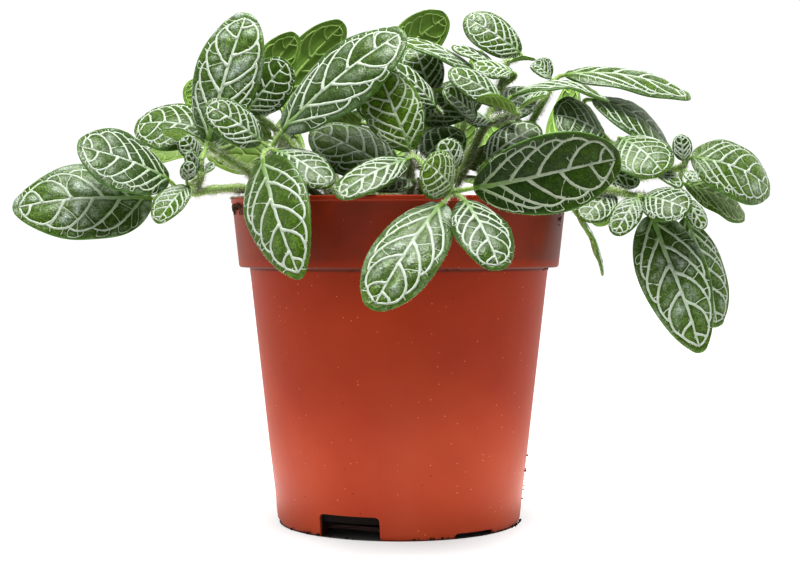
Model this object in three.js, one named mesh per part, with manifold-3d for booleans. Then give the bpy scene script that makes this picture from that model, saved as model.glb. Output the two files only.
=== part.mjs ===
// A nerve plant (Fittonia) in a round plastic nursery pot.
// Millimetres, +Z up. The origin is the centre of the pot's foot, on the surface that it stands on.
// The viewer stands at -Y, and +X is to the viewer's right.
import * as THREE from 'three';
import { mergeVertices } from 'three/addons/utils/BufferGeometryUtils.js';
import Module from 'manifold-3d';

const wasm = await Module();
wasm.setup();

// The pot
const potHeight = 115;
const rimRadius = 60;
const bandFootRadius = 57.1;
const bandFootHeight = 91.2;
const neckRadius = 53.4;
const footRadius = 43.3;
const wall = 1.2;
const footRounding = 1.6;
const bandRounding = 0.4;
const rimRounding = 0.8;
const rimBevel = 1.6;
const footRingInside = 38;
const floorLow = 2;
const floorHigh = 3.2;
const potSides = 48;

// The drain openings in the foot, three wide notches and three shallow slits between them
const notchBearings = [-113, 7, 127];
const notchWidth = 22;
const notchHeight = 8;
const slitBearings = [-53, 67, 187];
const slitWidth = 16.5;
const slitHeight = 1.8;
const notchCorner = 1.5;
const cutReach = 8;
const cutDepth = 14;

// The soil and the stems' holes in it
const soilTop = 106;
const soilGap = 0.35;
const soilRelief = 1.6;
const soilRings = 4;
const soilSides = 24;
const stemFoot = 96;
const stemStraight = 4;
const holeGap = 0.6;

// The plant
const stemRadius = 1.7;
const twigRadius = 1.1;
const petioleHalfWidth = 1;
const petioleHalfThickness = 0.8;
const bladeThickness = 0.9;
const bladeBlunt = 0.6;
const outlineTaper = 1.24;
const widestAt = 0.52;
const shortStalk = 7;
const shortLeaf = 14;
const shortLeafSlim = 0.7;
const stalkBend = 0.45;
const stemSides = 6;
const twigSides = 4;

const colours = {
  pot: 0xa8412c,
  soil: 0x2b1d16,
  leaf: 0x3f6b35,
};

// A repeatable draw between 0 and 1
function makeDraw(seed) {
  let state = seed;
  return () => {
    state = (state * 16807) % 2147483647;
    return state / 2147483647;
  };
}

const vector = (xyz) => new THREE.Vector3(xyz[0], xyz[1], xyz[2]);
const radians = (degrees) => (degrees * Math.PI) / 180;

// Turns lists of points and triangles into a solid for joining and cutting
function solidFrom(points, triangles) {
  const vertProperties = new Float32Array(points.length * 3);
  points.forEach((p, i) => vertProperties.set([p.x, p.y, p.z], 3 * i));
  const triVerts = new Uint32Array(triangles.flat());
  return new wasm.Manifold(new wasm.Mesh({ numProp: 3, vertProperties, triVerts }));
}

function solidFromGeometry(geometry) {
  const bare = geometry.index ? geometry.toNonIndexed() : geometry.clone();
  bare.deleteAttribute('normal');
  bare.deleteAttribute('uv');
  const merged = mergeVertices(bare, 1e-4);
  const triVerts = new Uint32Array(merged.index.array);
  const vertProperties = new Float32Array(merged.attributes.position.array);
  return new wasm.Manifold(new wasm.Mesh({ numProp: 3, vertProperties, triVerts }));
}

function geometryFromSolid(solid) {
  const mesh = solid.getMesh();
  const geometry = new THREE.BufferGeometry();
  geometry.setAttribute('position', new THREE.BufferAttribute(mesh.vertProperties, 3));
  geometry.setIndex(new THREE.BufferAttribute(mesh.triVerts, 1));
  geometry.computeVertexNormals();
  return geometry;
}

function joined(solids) {
  return solids.reduce((whole, next) => whole.add(next));
}

// A round stem through the points of a curve that tapers from one radius to the other
function tubeSolid(curve, steps, sides, startRadius, endRadius) {
  const points = [];
  const triangles = [];
  let normal = new THREE.Vector3(1, 0, 0);
  for (let i = 0; i <= steps; i += 1) {
    const centre = curve.getPoint(i / steps);
    const heading = curve.getTangent(i / steps);
    normal = normal.clone().addScaledVector(heading, -normal.dot(heading)).normalize();
    const binormal = new THREE.Vector3().crossVectors(heading, normal);
    const radius = startRadius + ((endRadius - startRadius) * i) / steps;
    for (let j = 0; j < sides; j += 1) {
      const turn = (2 * Math.PI * j) / sides;
      const out = normal.clone().multiplyScalar(radius * Math.cos(turn));
      out.addScaledVector(binormal, radius * Math.sin(turn));
      points.push(out.add(centre));
    }
  }
  for (let i = 0; i < steps; i += 1) {
    for (let j = 0; j < sides; j += 1) {
      const a = i * sides + j;
      const b = i * sides + ((j + 1) % sides);
      triangles.push([a, b, b + sides], [a, b + sides, a + sides]);
    }
  }
  const last = steps * sides;
  for (let j = 1; j < sides - 1; j += 1) {
    triangles.push([0, j + 1, j], [last, last + j, last + j + 1]);
  }
  return solidFrom(points, triangles);
}

// A leaf is given by its blade's base and tip, its width, the way its upper face looks, how far
// its midrib arches towards that face, how far its margins stand above (+) or below (-) it, and
// how far along it is widest.
function leafAxes(leaf) {
  const base = vector(leaf.base);
  const run = vector(leaf.tip).sub(base);
  const across = new THREE.Vector3().crossVectors(run, vector(leaf.face)).normalize();
  const face = new THREE.Vector3().crossVectors(across, run).normalize();
  return { base, run, across, face };
}

// How full the outline is at a share s of the blade's length, 1 where it is widest
function fullness(s, widest) {
  const baseTaper = outlineTaper * widest;
  const tipTaper = outlineTaper * (1 - widest);
  const most = widest ** baseTaper * (1 - widest) ** tipTaper;
  return (s ** baseTaper * (1 - s) ** tipTaper) / most;
}

function bladePoint(leaf, axes, s, t) {
  const full = fullness(s, leaf.widest ?? widestAt);
  const half = bladeBlunt + (leaf.width / 2 - bladeBlunt) * full;
  const rise = leaf.arch * 4 * s * (1 - s) + leaf.cup * full * t * t;
  const point = axes.base.clone().addScaledVector(axes.run, s);
  point.addScaledVector(axes.across, t * half);
  return point.addScaledVector(axes.face, rise);
}

// The stalk runs from the nearest stem node and bends into the line of the midrib
function stalkCurve(leaf, axes, nodes) {
  const start = nodes.reduce((near, node) =>
    node.distanceTo(axes.base) < near.distanceTo(axes.base) ? node : near,
  );
  const heading = bladePoint(leaf, axes, 0.1, 0).sub(axes.base).normalize();
  const reach = start.distanceTo(axes.base);
  const bend = axes.base.clone().addScaledVector(heading, -stalkBend * reach);
  return new THREE.QuadraticBezierCurve3(start, bend, axes.base);
}

// Each cross-section of a leaf, from the stem to the tip, has a left edge, a middle and a right
// edge on its upper side and the same on its lower side.
function leafSections(leaf, nodes) {
  const axes = leafAxes(leaf);
  const length = axes.run.length();
  const sections = [];
  const stalk = stalkCurve(leaf, axes, nodes);
  const slim = length < shortLeaf ? shortLeafSlim : 1;
  let across = axes.across;
  for (const u of stalk.getLength() > shortStalk ? [0.5, 0] : [0]) {
    const heading = stalk.getTangent(u);
    across = across.clone().addScaledVector(heading, -across.dot(heading)).normalize();
    const upward = new THREE.Vector3().crossVectors(across, heading).normalize();
    const centre = stalk.getPoint(u);
    const row = (lift) =>
      [-1, 0, 1].map((t) =>
        centre
          .clone()
          .addScaledVector(across, t * petioleHalfWidth * slim)
          .addScaledVector(upward, lift * petioleHalfThickness * slim),
      );
    sections.unshift({ upper: row(1), lower: row(-1) });
  }
  const steps = length > 34 ? 5 : length > 16 ? 4 : 3;
  for (let i = 0; i <= steps; i += 1) {
    const s = (1 - Math.cos((Math.PI * i) / steps)) / 2;
    const row = (lift) =>
      [-1, 0, 1].map((t) =>
        bladePoint(leaf, axes, s, t).addScaledVector(axes.face, (lift * bladeThickness) / 2),
      );
    sections.push({ upper: row(1), lower: row(-1) });
  }
  return sections;
}

// The upper and lower sides are split into triangles alike, so that they stay clear of each other
function leafSolid(leaf, nodes) {
  const sections = leafSections(leaf, nodes);
  const points = sections.flatMap(({ upper, lower }) => [...upper, ...lower]);
  const triangles = [];
  const quad = (a, b, c, d) => triangles.push([a, b, c], [a, c, d]);
  const row = 6;
  for (let i = 0; i < sections.length - 1; i += 1) {
    const u = row * i;
    const l = u + 3;
    for (const j of [0, 1]) {
      triangles.push([u + j, u + j + 1, u + j + 1 + row], [u + j, u + j + 1 + row, u + j + row]);
      triangles.push([l + j, l + j + 1 + row, l + j + 1], [l + j, l + j + row, l + j + 1 + row]);
    }
    quad(u, u + row, l + row, l);
    quad(u + 2, l + 2, l + 2 + row, u + 2 + row);
  }
  const last = row * (sections.length - 1);
  for (const j of [0, 1]) {
    quad(j, j + 3, j + 4, j + 1);
    quad(last + j, last + j + 1, last + j + 4, last + j + 3);
  }
  return solidFrom(points, triangles);
}

// The main stem of a shoot, straight up out of its hole and then through its nodes
function stemPoints(shoot) {
  const [x, y] = shoot.root;
  const straight = [stemFoot, soilTop, soilTop + stemStraight].map((z) => [x, y, z]);
  return [...straight, ...shoot.stem].map(vector);
}

function stemSolid(points, sides, startRadius, endRadius) {
  const curve = new THREE.CatmullRomCurve3(points, false, 'centripetal');
  return tubeSolid(curve, points.length - 1, sides, startRadius, endRadius);
}

function shootSolid(shoot) {
  const nodes = shoot.stem.map(vector);
  const solids = [stemSolid(stemPoints(shoot), stemSides, stemRadius, twigRadius)];
  for (const twig of shoot.twigs ?? []) {
    solids.push(stemSolid(twig.map(vector), twigSides, twigRadius, petioleHalfWidth));
    nodes.push(...twig.slice(1).map(vector));
  }
  for (const leaf of shoot.leaves) {
    solids.push(leafSolid(leaf, nodes));
  }
  return joined(solids);
}

// The shoots that the viewer sees, each leaf placed by eye
const seenShoots = [
  {
    name: 'shoot_left',
    root: [-26, -2],
    stem: [[-42, -8, 116], [-56, -12, 118.5], [-65, -14, 118], [-71, -15, 117], [-78, -15, 117.5]],
    twigs: [[[-71, -15, 117], [-69, -17, 123], [-69, -18, 128]]],
    leaves: [
      { base: [-87, -12, 115], tip: [-133, -24, 111], width: 32, face: [0, -0.85, 0.5], arch: 3, cup: -2, widest: 0.44 },
      { base: [-80, -18, 121], tip: [-109, -33, 132], width: 28, face: [-0.1, -0.75, 0.65], arch: 2, cup: -1.5 },
      { base: [-73, -22, 119], tip: [-82, -32, 106], width: 12, face: [-0.3, -0.9, 0.3], arch: 1, cup: 1 },
      { base: [-73, -24, 121], tip: [-72, -26, 127.5], width: 6, face: [0.3, -0.9, 0.2], arch: 0.5, cup: 1 },
      { base: [-67, -13, 135], tip: [-54, -6, 181], width: 24, face: [-0.1, -0.95, 0.25], arch: 2.5, cup: -2 },
      { base: [-70, -19, 129], tip: [-75, -21, 136], width: 8, face: [0, -0.9, 0.4], arch: 0.5, cup: -0.5 },
      { base: [-70, -21, 124], tip: [-73, -23, 131], width: 5, face: [0, -0.9, 0.4], arch: 0.5, cup: 1 },
      { base: [-67, -20, 124], tip: [-63.5, -22, 126], width: 4, face: [0, -0.8, 0.6], arch: 0.5, cup: 0.6 },
    ],
  },
  {
    name: 'shoot_left_behind',
    root: [-30, 14],
    stem: [[-42, 11, 119], [-54, 8, 125], [-67, 9, 133], [-73, 10, 141]],
    leaves: [
      { base: [-68, 6, 139], tip: [-96, 8, 142], width: 26, face: [0, -0.7, 0.7], arch: 3, cup: -2 },
      { base: [-69, -6, 134], tip: [-84, -8, 139], width: 12, face: [0.2, 0.3, 0.9], arch: 1.5, cup: -1 },
      { base: [-70, 17, 149], tip: [-79, 21, 159], width: 12, face: [-0.3, 0.8, 0.5], arch: 1, cup: -0.5 },
      { base: [-70, 15, 133], tip: [-100, 34, 130], width: 23, face: [-0.3, 0.3, 0.9], arch: 3, cup: -2 },
      { base: [-61, 17, 137], tip: [-68, 45, 149], width: 21, face: [-0.5, 0.3, 0.8], arch: 3, cup: -2 },
    ],
  },
  {
    name: 'shoot_front_left',
    root: [-22, -22],
    stem: [[-33, -29, 120], [-43, -36, 131]],
    leaves: [
      { base: [-46, -39, 133], tip: [-64, -46, 145], width: 15, face: [-0.2, -0.8, 0.55], arch: 1.5, cup: -1 },
      { base: [-41, -39, 130], tip: [-22, -51, 118], width: 15, face: [0.1, -0.75, 0.65], arch: 2, cup: -1 },
      { base: [-45, -44, 127], tip: [-31, -67, 88], width: 24, face: [-0.5, -0.8, 0.35], arch: 3, cup: -2, widest: 0.4 },
      { base: [-30, -24, 123], tip: [-7, -14, 133], width: 18, face: [-0.1, -0.5, 0.9], arch: 2, cup: -1 },
      { base: [-39, -37, 137], tip: [2, -40, 170], width: 27, face: [-0.25, -0.8, 0.55], arch: 3, cup: -2 },
    ],
  },
  {
    name: 'shoot_top_left',
    root: [-16, 6],
    stem: [[-28, 8, 122], [-42, 11, 138], [-53, 14, 147]],
    leaves: [
      { base: [-55, 8, 147], tip: [-40, 4, 165], width: 19, face: [0, -0.9, 0.4], arch: 1, cup: -1 },
      { base: [-57, 16, 149], tip: [-38, 21, 177], width: 16, face: [-0.35, 0.85, 0.3], arch: 2, cup: -1.5 },
      { base: [-48, 27, 150], tip: [-21, 34, 183], width: 19, face: [-0.35, 0.85, 0.3], arch: 3, cup: -1.5 },
    ],
  },
  {
    name: 'shoot_front',
    root: [4, -26],
    stem: [[4, -34, 119], [4, -41, 128], [11, -50, 122], [17, -57, 116]],
    leaves: [
      { base: [4, -42, 130], tip: [-8, -36, 158], width: 20, face: [0.05, -0.95, 0.2], arch: 2, cup: -1.5 },
      { base: [3, -46, 127], tip: [-20, -60, 114], width: 14, face: [-0.1, -0.75, 0.65], arch: 2, cup: -1 },
      { base: [0, -34, 122], tip: [-30, -24, 138], width: 22, face: [0, -0.8, 0.6], arch: 2, cup: -1 },
      { base: [4, -42, 120], tip: [-9, -52, 117], width: 12, face: [0, -0.5, 0.85], arch: 1, cup: -1 },
      { base: [17, -60, 117], tip: [8, -67, 125], width: 17, face: [0, -0.9, 0.4], arch: 1.5, cup: -1.5 },
      { base: [19, -52, 124], tip: [14, -53, 133], width: 10, face: [0, -0.8, 0.6], arch: 1, cup: -0.5 },
      { base: [14, -64, 112], tip: [-8, -88, 79], width: 23, face: [-0.2, -0.9, 0.35], arch: 3, cup: -2 },
      { base: [21, -62, 113], tip: [31, -84, 91], width: 18, face: [0.2, -0.9, 0.35], arch: 2.5, cup: -1.5 },
      { base: [24, -60, 117], tip: [72, -56, 127], width: 26, face: [0, -0.95, -0.15], arch: 2, cup: 2 },
    ],
  },
  {
    name: 'shoot_top',
    root: [2, 2],
    stem: [[3, 3, 124], [5, 4, 140], [9, 4, 154]],
    leaves: [
      { base: [-4, 16, 165], tip: [18, 22, 184], width: 18, face: [-0.3, 0.9, 0.3], arch: 2, cup: -1.5 },
      { base: [27, 0, 161], tip: [1, 2, 173], width: 20, face: [0.1, -0.3, 0.95], arch: 2, cup: -1.5 },
      { base: [13, -12, 147], tip: [-4, -14, 162], width: 13, face: [0.2, -0.7, 0.7], arch: 1.5, cup: -1 },
      { base: [-4, 0, 142], tip: [-20, -16, 158], width: 18, face: [-0.2, -0.7, 0.6], arch: 2, cup: -1 },
      { base: [-1, 0, 127], tip: [-24, -6, 137], width: 17, face: [-0.2, -0.6, 0.8], arch: 2, cup: -1 },
      { base: [9, 9, 143], tip: [30, 16, 157], width: 19, face: [0, -0.8, 0.6], arch: 2, cup: -1 },
      { base: [12, 9, 153], tip: [5, 14, 172], width: 16, face: [0, -0.9, 0.4], arch: 2, cup: -1 },
      { base: [6, 10, 127], tip: [23, 18, 141], width: 18, face: [0, -0.8, 0.6], arch: 2, cup: -1 },
    ],
  },
  {
    name: 'shoot_top_right',
    root: [16, -10],
    stem: [[22, -8, 124], [31, -6, 142], [37, 0, 156], [39, 4, 165]],
    twigs: [[[31, -6, 142], [36, -14, 143], [40, -21, 144]]],
    leaves: [
      { base: [44, 6, 168], tip: [24, 6, 181], width: 16, face: [0.1, -0.9, 0.4], arch: 1.5, cup: -1 },
      { base: [41, 1, 165], tip: [49, -1, 165], width: 6, face: [0, 0, 1], arch: 0.5, cup: 0.5 },
      { base: [35, 2, 163], tip: [19, 2, 170], width: 9, face: [0, -0.5, 0.85], arch: 1, cup: -0.5 },
      { base: [41, -3, 160], tip: [26, -5, 162], width: 12, face: [0, -0.6, 0.8], arch: 1, cup: -1 },
      { base: [36, -20, 148], tip: [17, -25, 158], width: 14, face: [0, -0.75, 0.65], arch: 1.5, cup: -1 },
      { base: [40, -27, 144], tip: [26, -31, 148], width: 9, face: [0, 0.2, 1], arch: 0.5, cup: 2 },
      { base: [42, -25, 146], tip: [51, -29, 150], width: 9, face: [-0.2, -0.3, 0.9], arch: 0.5, cup: 1.5 },
      { base: [34, 7, 145], tip: [51, 15, 155], width: 17, face: [0, -0.7, 0.7], arch: 2, cup: -1 },
      { base: [27, -14, 143], tip: [15, -22, 152], width: 11, face: [0.2, -0.8, 0.5], arch: 1, cup: 1 },
      { base: [32, -12, 142], tip: [23, -14, 143], width: 11, face: [0, -0.6, 0.8], arch: 1, cup: -0.5 },
    ],
  },
  {
    name: 'shoot_right_high',
    root: [26, 0],
    stem: [[36, -4, 123], [46, -5, 140], [54, 1, 154]],
    leaves: [
      { base: [40, -10, 151], tip: [74, -12, 149], width: 17, face: [0, -0.2, 1], arch: 6, cup: -2 },
      { base: [60, 4, 160], tip: [106, 6, 152], width: 20, face: [0, -0.5, 0.87], arch: 4, cup: -2 },
      { base: [55, 5, 159], tip: [48, 6, 164], width: 9, face: [0.2, -0.8, 0.5], arch: 1, cup: 2 },
      { base: [48, -12, 136], tip: [56, -24, 128], width: 14, face: [0.3, -0.7, 0.6], arch: 1.5, cup: -1 },
      { base: [30, -21, 127], tip: [49, -17, 140], width: 16, face: [-0.2, -0.8, 0.5], arch: 2, cup: -1 },
    ],
  },
  {
    name: 'shoot_right',
    root: [34, 8],
    stem: [[48, 2, 118], [62, -2, 128], [76, -5, 134], [82, -8, 132]],
    leaves: [
      { base: [73, -8, 137], tip: [54, -16, 144], width: 26, face: [0, -0.75, 0.65], arch: 2, cup: -1.5 },
      { base: [78, -13, 136], tip: [91, -26, 123], width: 22, face: [0.15, -0.85, 0.5], arch: 2, cup: -2 },
      { base: [86, -16, 125], tip: [97, -25, 118], width: 9, face: [0.5, -0.7, 0.5], arch: 1, cup: 1 },
      { base: [70, 4, 151], tip: [98, 6, 133], width: 26, face: [0.4, -0.5, 0.75], arch: 4, cup: -2 },
      { base: [70, -14, 125], tip: [84, -16, 120], width: 9, face: [0, -0.8, 0.5], arch: 1, cup: -1 },
    ],
  },
  {
    name: 'shoot_far_right',
    root: [40, -6],
    stem: [[54, -8, 117], [78, -10, 121], [92, -12, 124], [100, -15, 126]],
    leaves: [
      { base: [102, -16, 129], tip: [131, -10, 118], width: 26, face: [0, -0.8, 0.6], arch: 4, cup: -2 },
      { base: [101, -10, 120], tip: [123, -6, 108], width: 18, face: [0, -0.6, 0.8], arch: 2, cup: -1 },
      { base: [99, -18, 128], tip: [98, -18, 137], width: 7, face: [0, -0.95, 0.2], arch: 0.5, cup: 0.5 },
      { base: [100, -19, 124], tip: [102, -24, 120], width: 5, face: [0, -0.8, 0.6], arch: 0.4, cup: 0.6 },
    ],
  },
  {
    name: 'shoot_right_front',
    root: [36, -18],
    stem: [[50, -23, 118], [70, -22, 118], [84, -22, 115], [97, -23, 114]],
    leaves: [
      { base: [84, -26, 115], tip: [98, -36, 110], width: 17, face: [0.1, -0.8, 0.5], arch: 1.5, cup: -1.5 },
      { base: [82, -27, 115], tip: [73, -33, 102], width: 10, face: [-0.2, -0.9, 0.3], arch: 1, cup: -0.5 },
      { base: [99, -26, 114], tip: [104, -29, 104], width: 7, face: [0.1, -0.9, 0.3], arch: 0.5, cup: -0.5 },
      { base: [87, -22, 109], tip: [103, -30, 62], width: 24, face: [0, -0.98, 0.2], arch: 3, cup: -2, widest: 0.43 },
      { base: [100, -14, 108], tip: [111, -17, 70], width: 18, face: [0.3, -0.9, 0.2], arch: 3, cup: -2 },
    ],
  },
  {
    name: 'shoot_rim_right',
    root: [46, -18],
    stem: [[56, -19, 119], [66, -18, 120], [74, -15, 118]],
    leaves: [
      { base: [74, -19, 117], tip: [63, -28, 107], width: 13, face: [-0.2, -0.85, 0.4], arch: 1, cup: -1 },
      { base: [76, -13, 115], tip: [67, -14, 107], width: 14, face: [-0.2, 0.8, 0.6], arch: 1, cup: -1 },
      { base: [61, -22, 110], tip: [70, -26, 88], width: 14, face: [0.8, 0, 0.5], arch: 2, cup: -1 },
    ],
  },
];

// The shoots behind, on the far side of the pot. Each rises at its own bearing and leans out
// over the rim or stays upright. Its leaves stand in opposite pairs that turn a quarter from one
// node to the next, sideways first or last, and grow smaller towards the tip.
const hiddenShoots = [
  {
    name: 'shoot_behind_1', bearing: 29, seed: 11, root: 34, sidewaysAt: 0,
    reach: [48, 62, 72], rise: [122, 125, 121], lengths: [24, 34, 20], droop: 0.15,
  },
  {
    name: 'shoot_behind_2', bearing: 60, seed: 23, root: 34, sidewaysAt: 1,
    reach: [46, 60, 70], rise: [126, 130, 122], lengths: [21, 34, 26], droop: 0.75,
  },
  {
    name: 'shoot_behind_3', bearing: 92, seed: 37, root: 34, sidewaysAt: 0,
    reach: [48, 61, 71], rise: [122, 124, 118], lengths: [19, 34, 24], droop: 0.75,
  },
  {
    name: 'shoot_behind_4', bearing: 124, seed: 41, root: 34, sidewaysAt: 1,
    reach: [46, 60, 70], rise: [126, 130, 122], lengths: [20, 34, 26], droop: 0.75,
  },
  {
    name: 'shoot_inner_1', bearing: 45, seed: 59, root: 17, sidewaysAt: 1,
    reach: [21, 28, 36], rise: [119, 128, 148], lengths: [0, 25, 22], droop: 0.2,
  },
  {
    name: 'shoot_inner_2', bearing: 109, seed: 67, root: 17, sidewaysAt: 1,
    reach: [21, 28, 38], rise: [122, 144, 151], lengths: [0, 28, 21], droop: 0.2,
  },
  {
    name: 'shoot_inner_3', bearing: 154, seed: 70, root: 27, sidewaysAt: 0,
    reach: [31, 40, 49], rise: [122, 133, 138], lengths: [0, 19, 22], droop: 0.2,
  },
];
const widthShare = 0.56;
const stalkLength = 5;

function ruledShoot({ name, bearing, seed, root, sidewaysAt, reach, rise, lengths, droop }) {
  const draw = makeDraw(seed);
  const vary = (middle, spread) => middle * (1 + spread * (2 * draw() - 1));
  const out = new THREE.Vector3(Math.cos(radians(bearing)), Math.sin(radians(bearing)), 0);
  const aside = new THREE.Vector3(-out.y, out.x, 0);
  const up = new THREE.Vector3(0, 0, 1);
  const face = out.clone().addScaledVector(up, 1).toArray();
  const nodes = reach.map((r, i) => out.clone().multiplyScalar(r).setZ(rise[i]));
  const leaves = [];
  nodes.forEach((node, i) => {
    for (const side of lengths[i] > 0 ? [-1, 1] : []) {
      const heading = new THREE.Vector3();
      if (i % 2 === sidewaysAt) {
        heading.addScaledVector(aside, side * 0.9).addScaledVector(out, vary(0.4, 0.3));
        heading.addScaledVector(up, vary(i === 0 ? -0.04 : 0.06, 0.6));
      } else if (side > 0) {
        heading.addScaledVector(out, vary(0.35, 0.3)).addScaledVector(up, 0.9);
      } else {
        const fall = reach[i] < bandFootRadius ? 0.2 : droop;
        heading.addScaledVector(out, Math.sqrt(1 - fall ** 2)).addScaledVector(up, -fall);
      }
      heading.normalize();
      const length = vary(lengths[i], 0.1);
      const base = node.clone().addScaledVector(heading, stalkLength);
      const tip = base.clone().addScaledVector(heading, length);
      leaves.push({
        base: base.toArray(),
        tip: tip.toArray(),
        width: widthShare * length,
        face,
        arch: 0.07 * length,
        cup: -0.04 * length,
      });
    }
  });
  const rootPoint = out.clone().multiplyScalar(root);
  return { name, root: [rootPoint.x, rootPoint.y], stem: nodes.map((node) => node.toArray()), leaves };
}

const shoots = [...seenShoots, ...hiddenShoots.map(ruledShoot)];

// The pot's wall is one profile turned round the axis, with a band round the rim
function potSolid() {
  const profile = [
    [0, floorLow],
    [footRingInside, floorLow],
    [footRingInside, 0],
    [footRadius - footRounding, 0],
    [footRadius - 0.2, footRounding],
    [neckRadius, bandFootHeight - 2 * bandRounding],
    [bandFootRadius - bandRounding, bandFootHeight - bandRounding],
    [bandFootRadius, bandFootHeight],
    [rimRadius - rimRounding, potHeight - 3 * rimRounding],
    [rimRadius, potHeight - 2 * rimRounding],
    [rimRadius, potHeight - bandRounding],
    [rimRadius - rimBevel, potHeight],
    [bandFootRadius - wall, bandFootHeight + wall],
    [neckRadius - wall, bandFootHeight - wall],
    [footRadius - wall, floorHigh + 1],
    [footRadius - wall - 1, floorHigh],
    [0, floorHigh],
  ];
  const points = profile.map(([r, z]) => new THREE.Vector2(r, z));
  const lathe = new THREE.LatheGeometry(points, potSides);
  lathe.rotateX(Math.PI / 2);
  const body = solidFromGeometry(lathe);
  const cuts = [
    ...notchBearings.map((bearing) => notchSolid(bearing, notchWidth, notchHeight)),
    ...slitBearings.map((bearing) => notchSolid(bearing, slitWidth, slitHeight)),
  ];
  return cuts.reduce((whole, cut) => whole.subtract(cut), body);
}

// A notch is a rounded gate shape, driven outwards through the foot at its bearing
function notchSolid(bearing, width, height) {
  const corner = Math.min(notchCorner, 0.6 * height);
  const gate = new THREE.Shape();
  gate.moveTo(-width / 2, -height);
  gate.lineTo(width / 2, -height);
  gate.lineTo(width / 2, height - corner);
  gate.absarc(width / 2 - corner, height - corner, corner, 0, Math.PI / 2);
  gate.absarc(corner - width / 2, height - corner, corner, Math.PI / 2, Math.PI);
  gate.closePath();
  const options = { depth: cutDepth, bevelEnabled: false, curveSegments: 2 };
  const geometry = new THREE.ExtrudeGeometry(gate, options);
  geometry.rotateX(Math.PI / 2);
  geometry.rotateZ(Math.PI / 2);
  geometry.translate(footRadius - cutReach, 0, 0);
  geometry.rotateZ(radians(bearing));
  return solidFromGeometry(geometry);
}

// Loose soil fills the pot to below the rim, with lumps on top and a hole round each stem
function soilSolid() {
  const rings = soilRings;
  const sides = soilSides;
  const draw = makeDraw(71);
  const neckInside = neckRadius - wall - soilGap;
  const bandInside = bandFootRadius - wall - soilGap;
  const bandWidening = rimRadius - bandFootRadius - 1;
  const topShare = (soilTop - bandFootHeight) / (potHeight - bandFootHeight);
  const sideProfile = [
    [bandInside - 0.5, bandFootHeight + 2 * wall],
    [neckInside, bandFootHeight - wall],
    [footRadius - wall - soilGap, 3 * floorHigh],
    [footRingInside, floorHigh + soilGap],
  ];
  const topRadius = bandInside - 0.5 + topShare * bandWidening;
  const points = [new THREE.Vector3(0, 0, soilTop)];
  const triangles = [];
  const ring = (radius, height) => {
    for (let j = 0; j < sides; j += 1) {
      const turn = (2 * Math.PI * j) / sides;
      const lump = height ?? soilTop + soilRelief * (draw() - 0.5);
      points.push(new THREE.Vector3(radius * Math.cos(turn), radius * Math.sin(turn), lump));
    }
  };
  for (let i = 1; i <= rings; i += 1) {
    ring((topRadius * i) / rings);
  }
  sideProfile.forEach(([radius, height]) => ring(radius, height));
  const ringCount = rings + sideProfile.length;
  const bottom = points.length;
  points.push(new THREE.Vector3(0, 0, floorHigh + soilGap));
  for (let j = 0; j < sides; j += 1) {
    const next = (j + 1) % sides;
    triangles.push([0, 1 + j, 1 + next]);
    for (let i = 0; i < ringCount - 1; i += 1) {
      const inner = 1 + i * sides;
      const outer = inner + sides;
      triangles.push([inner + j, outer + j, outer + next], [inner + j, outer + next, inner + next]);
    }
    const low = 1 + (ringCount - 1) * sides;
    triangles.push([bottom, low + next, low + j]);
  }
  const holes = shoots.map(({ root: [x, y] }) => {
    const low = new THREE.Vector3(x, y, stemFoot - holeGap);
    const high = new THREE.Vector3(x, y, soilTop + 6);
    const radius = (stemRadius + holeGap) / Math.cos(Math.PI / stemSides);
    return tubeSolid(new THREE.LineCurve3(low, high), 1, stemSides, radius, radius);
  });
  return holes.reduce((whole, hole) => whole.subtract(hole), solidFrom(points, triangles));
}

const group = new THREE.Group();

function addPiece(name, solid, colour, roughness) {
  const material = new THREE.MeshStandardMaterial({ color: colour, roughness, metalness: 0 });
  const mesh = new THREE.Mesh(geometryFromSolid(solid), material);
  mesh.name = name;
  group.add(mesh);
}

addPiece('pot', potSolid(), colours.pot, 0.45);
addPiece('soil', soilSolid(), colours.soil, 0.95);
for (const shoot of shoots) {
  addPiece(shoot.name, shootSolid(shoot), colours.leaf, 0.5);
}

export default group;
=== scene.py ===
"""A potted nerve plant in a plastic nursery pot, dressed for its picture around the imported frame."""
import math
import random

import bmesh
import bpy
import numpy as np
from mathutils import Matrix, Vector, noise


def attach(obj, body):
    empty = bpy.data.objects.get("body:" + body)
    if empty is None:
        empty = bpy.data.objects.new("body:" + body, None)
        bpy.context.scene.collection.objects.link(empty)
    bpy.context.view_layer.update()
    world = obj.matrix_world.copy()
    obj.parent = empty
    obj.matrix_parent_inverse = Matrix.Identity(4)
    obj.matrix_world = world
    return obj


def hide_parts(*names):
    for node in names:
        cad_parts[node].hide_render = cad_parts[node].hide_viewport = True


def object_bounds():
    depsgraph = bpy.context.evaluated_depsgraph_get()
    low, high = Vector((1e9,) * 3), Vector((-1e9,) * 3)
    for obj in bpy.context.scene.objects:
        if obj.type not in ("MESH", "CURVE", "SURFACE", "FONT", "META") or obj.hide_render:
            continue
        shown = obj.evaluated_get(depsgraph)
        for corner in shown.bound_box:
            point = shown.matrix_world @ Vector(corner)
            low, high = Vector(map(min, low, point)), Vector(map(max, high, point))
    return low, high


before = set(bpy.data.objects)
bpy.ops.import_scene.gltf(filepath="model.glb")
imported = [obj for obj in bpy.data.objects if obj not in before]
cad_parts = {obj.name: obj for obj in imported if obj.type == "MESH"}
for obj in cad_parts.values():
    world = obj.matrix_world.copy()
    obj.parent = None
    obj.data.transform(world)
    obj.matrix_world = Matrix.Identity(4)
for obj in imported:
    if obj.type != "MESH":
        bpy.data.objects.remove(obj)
cad_low, cad_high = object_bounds()

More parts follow.
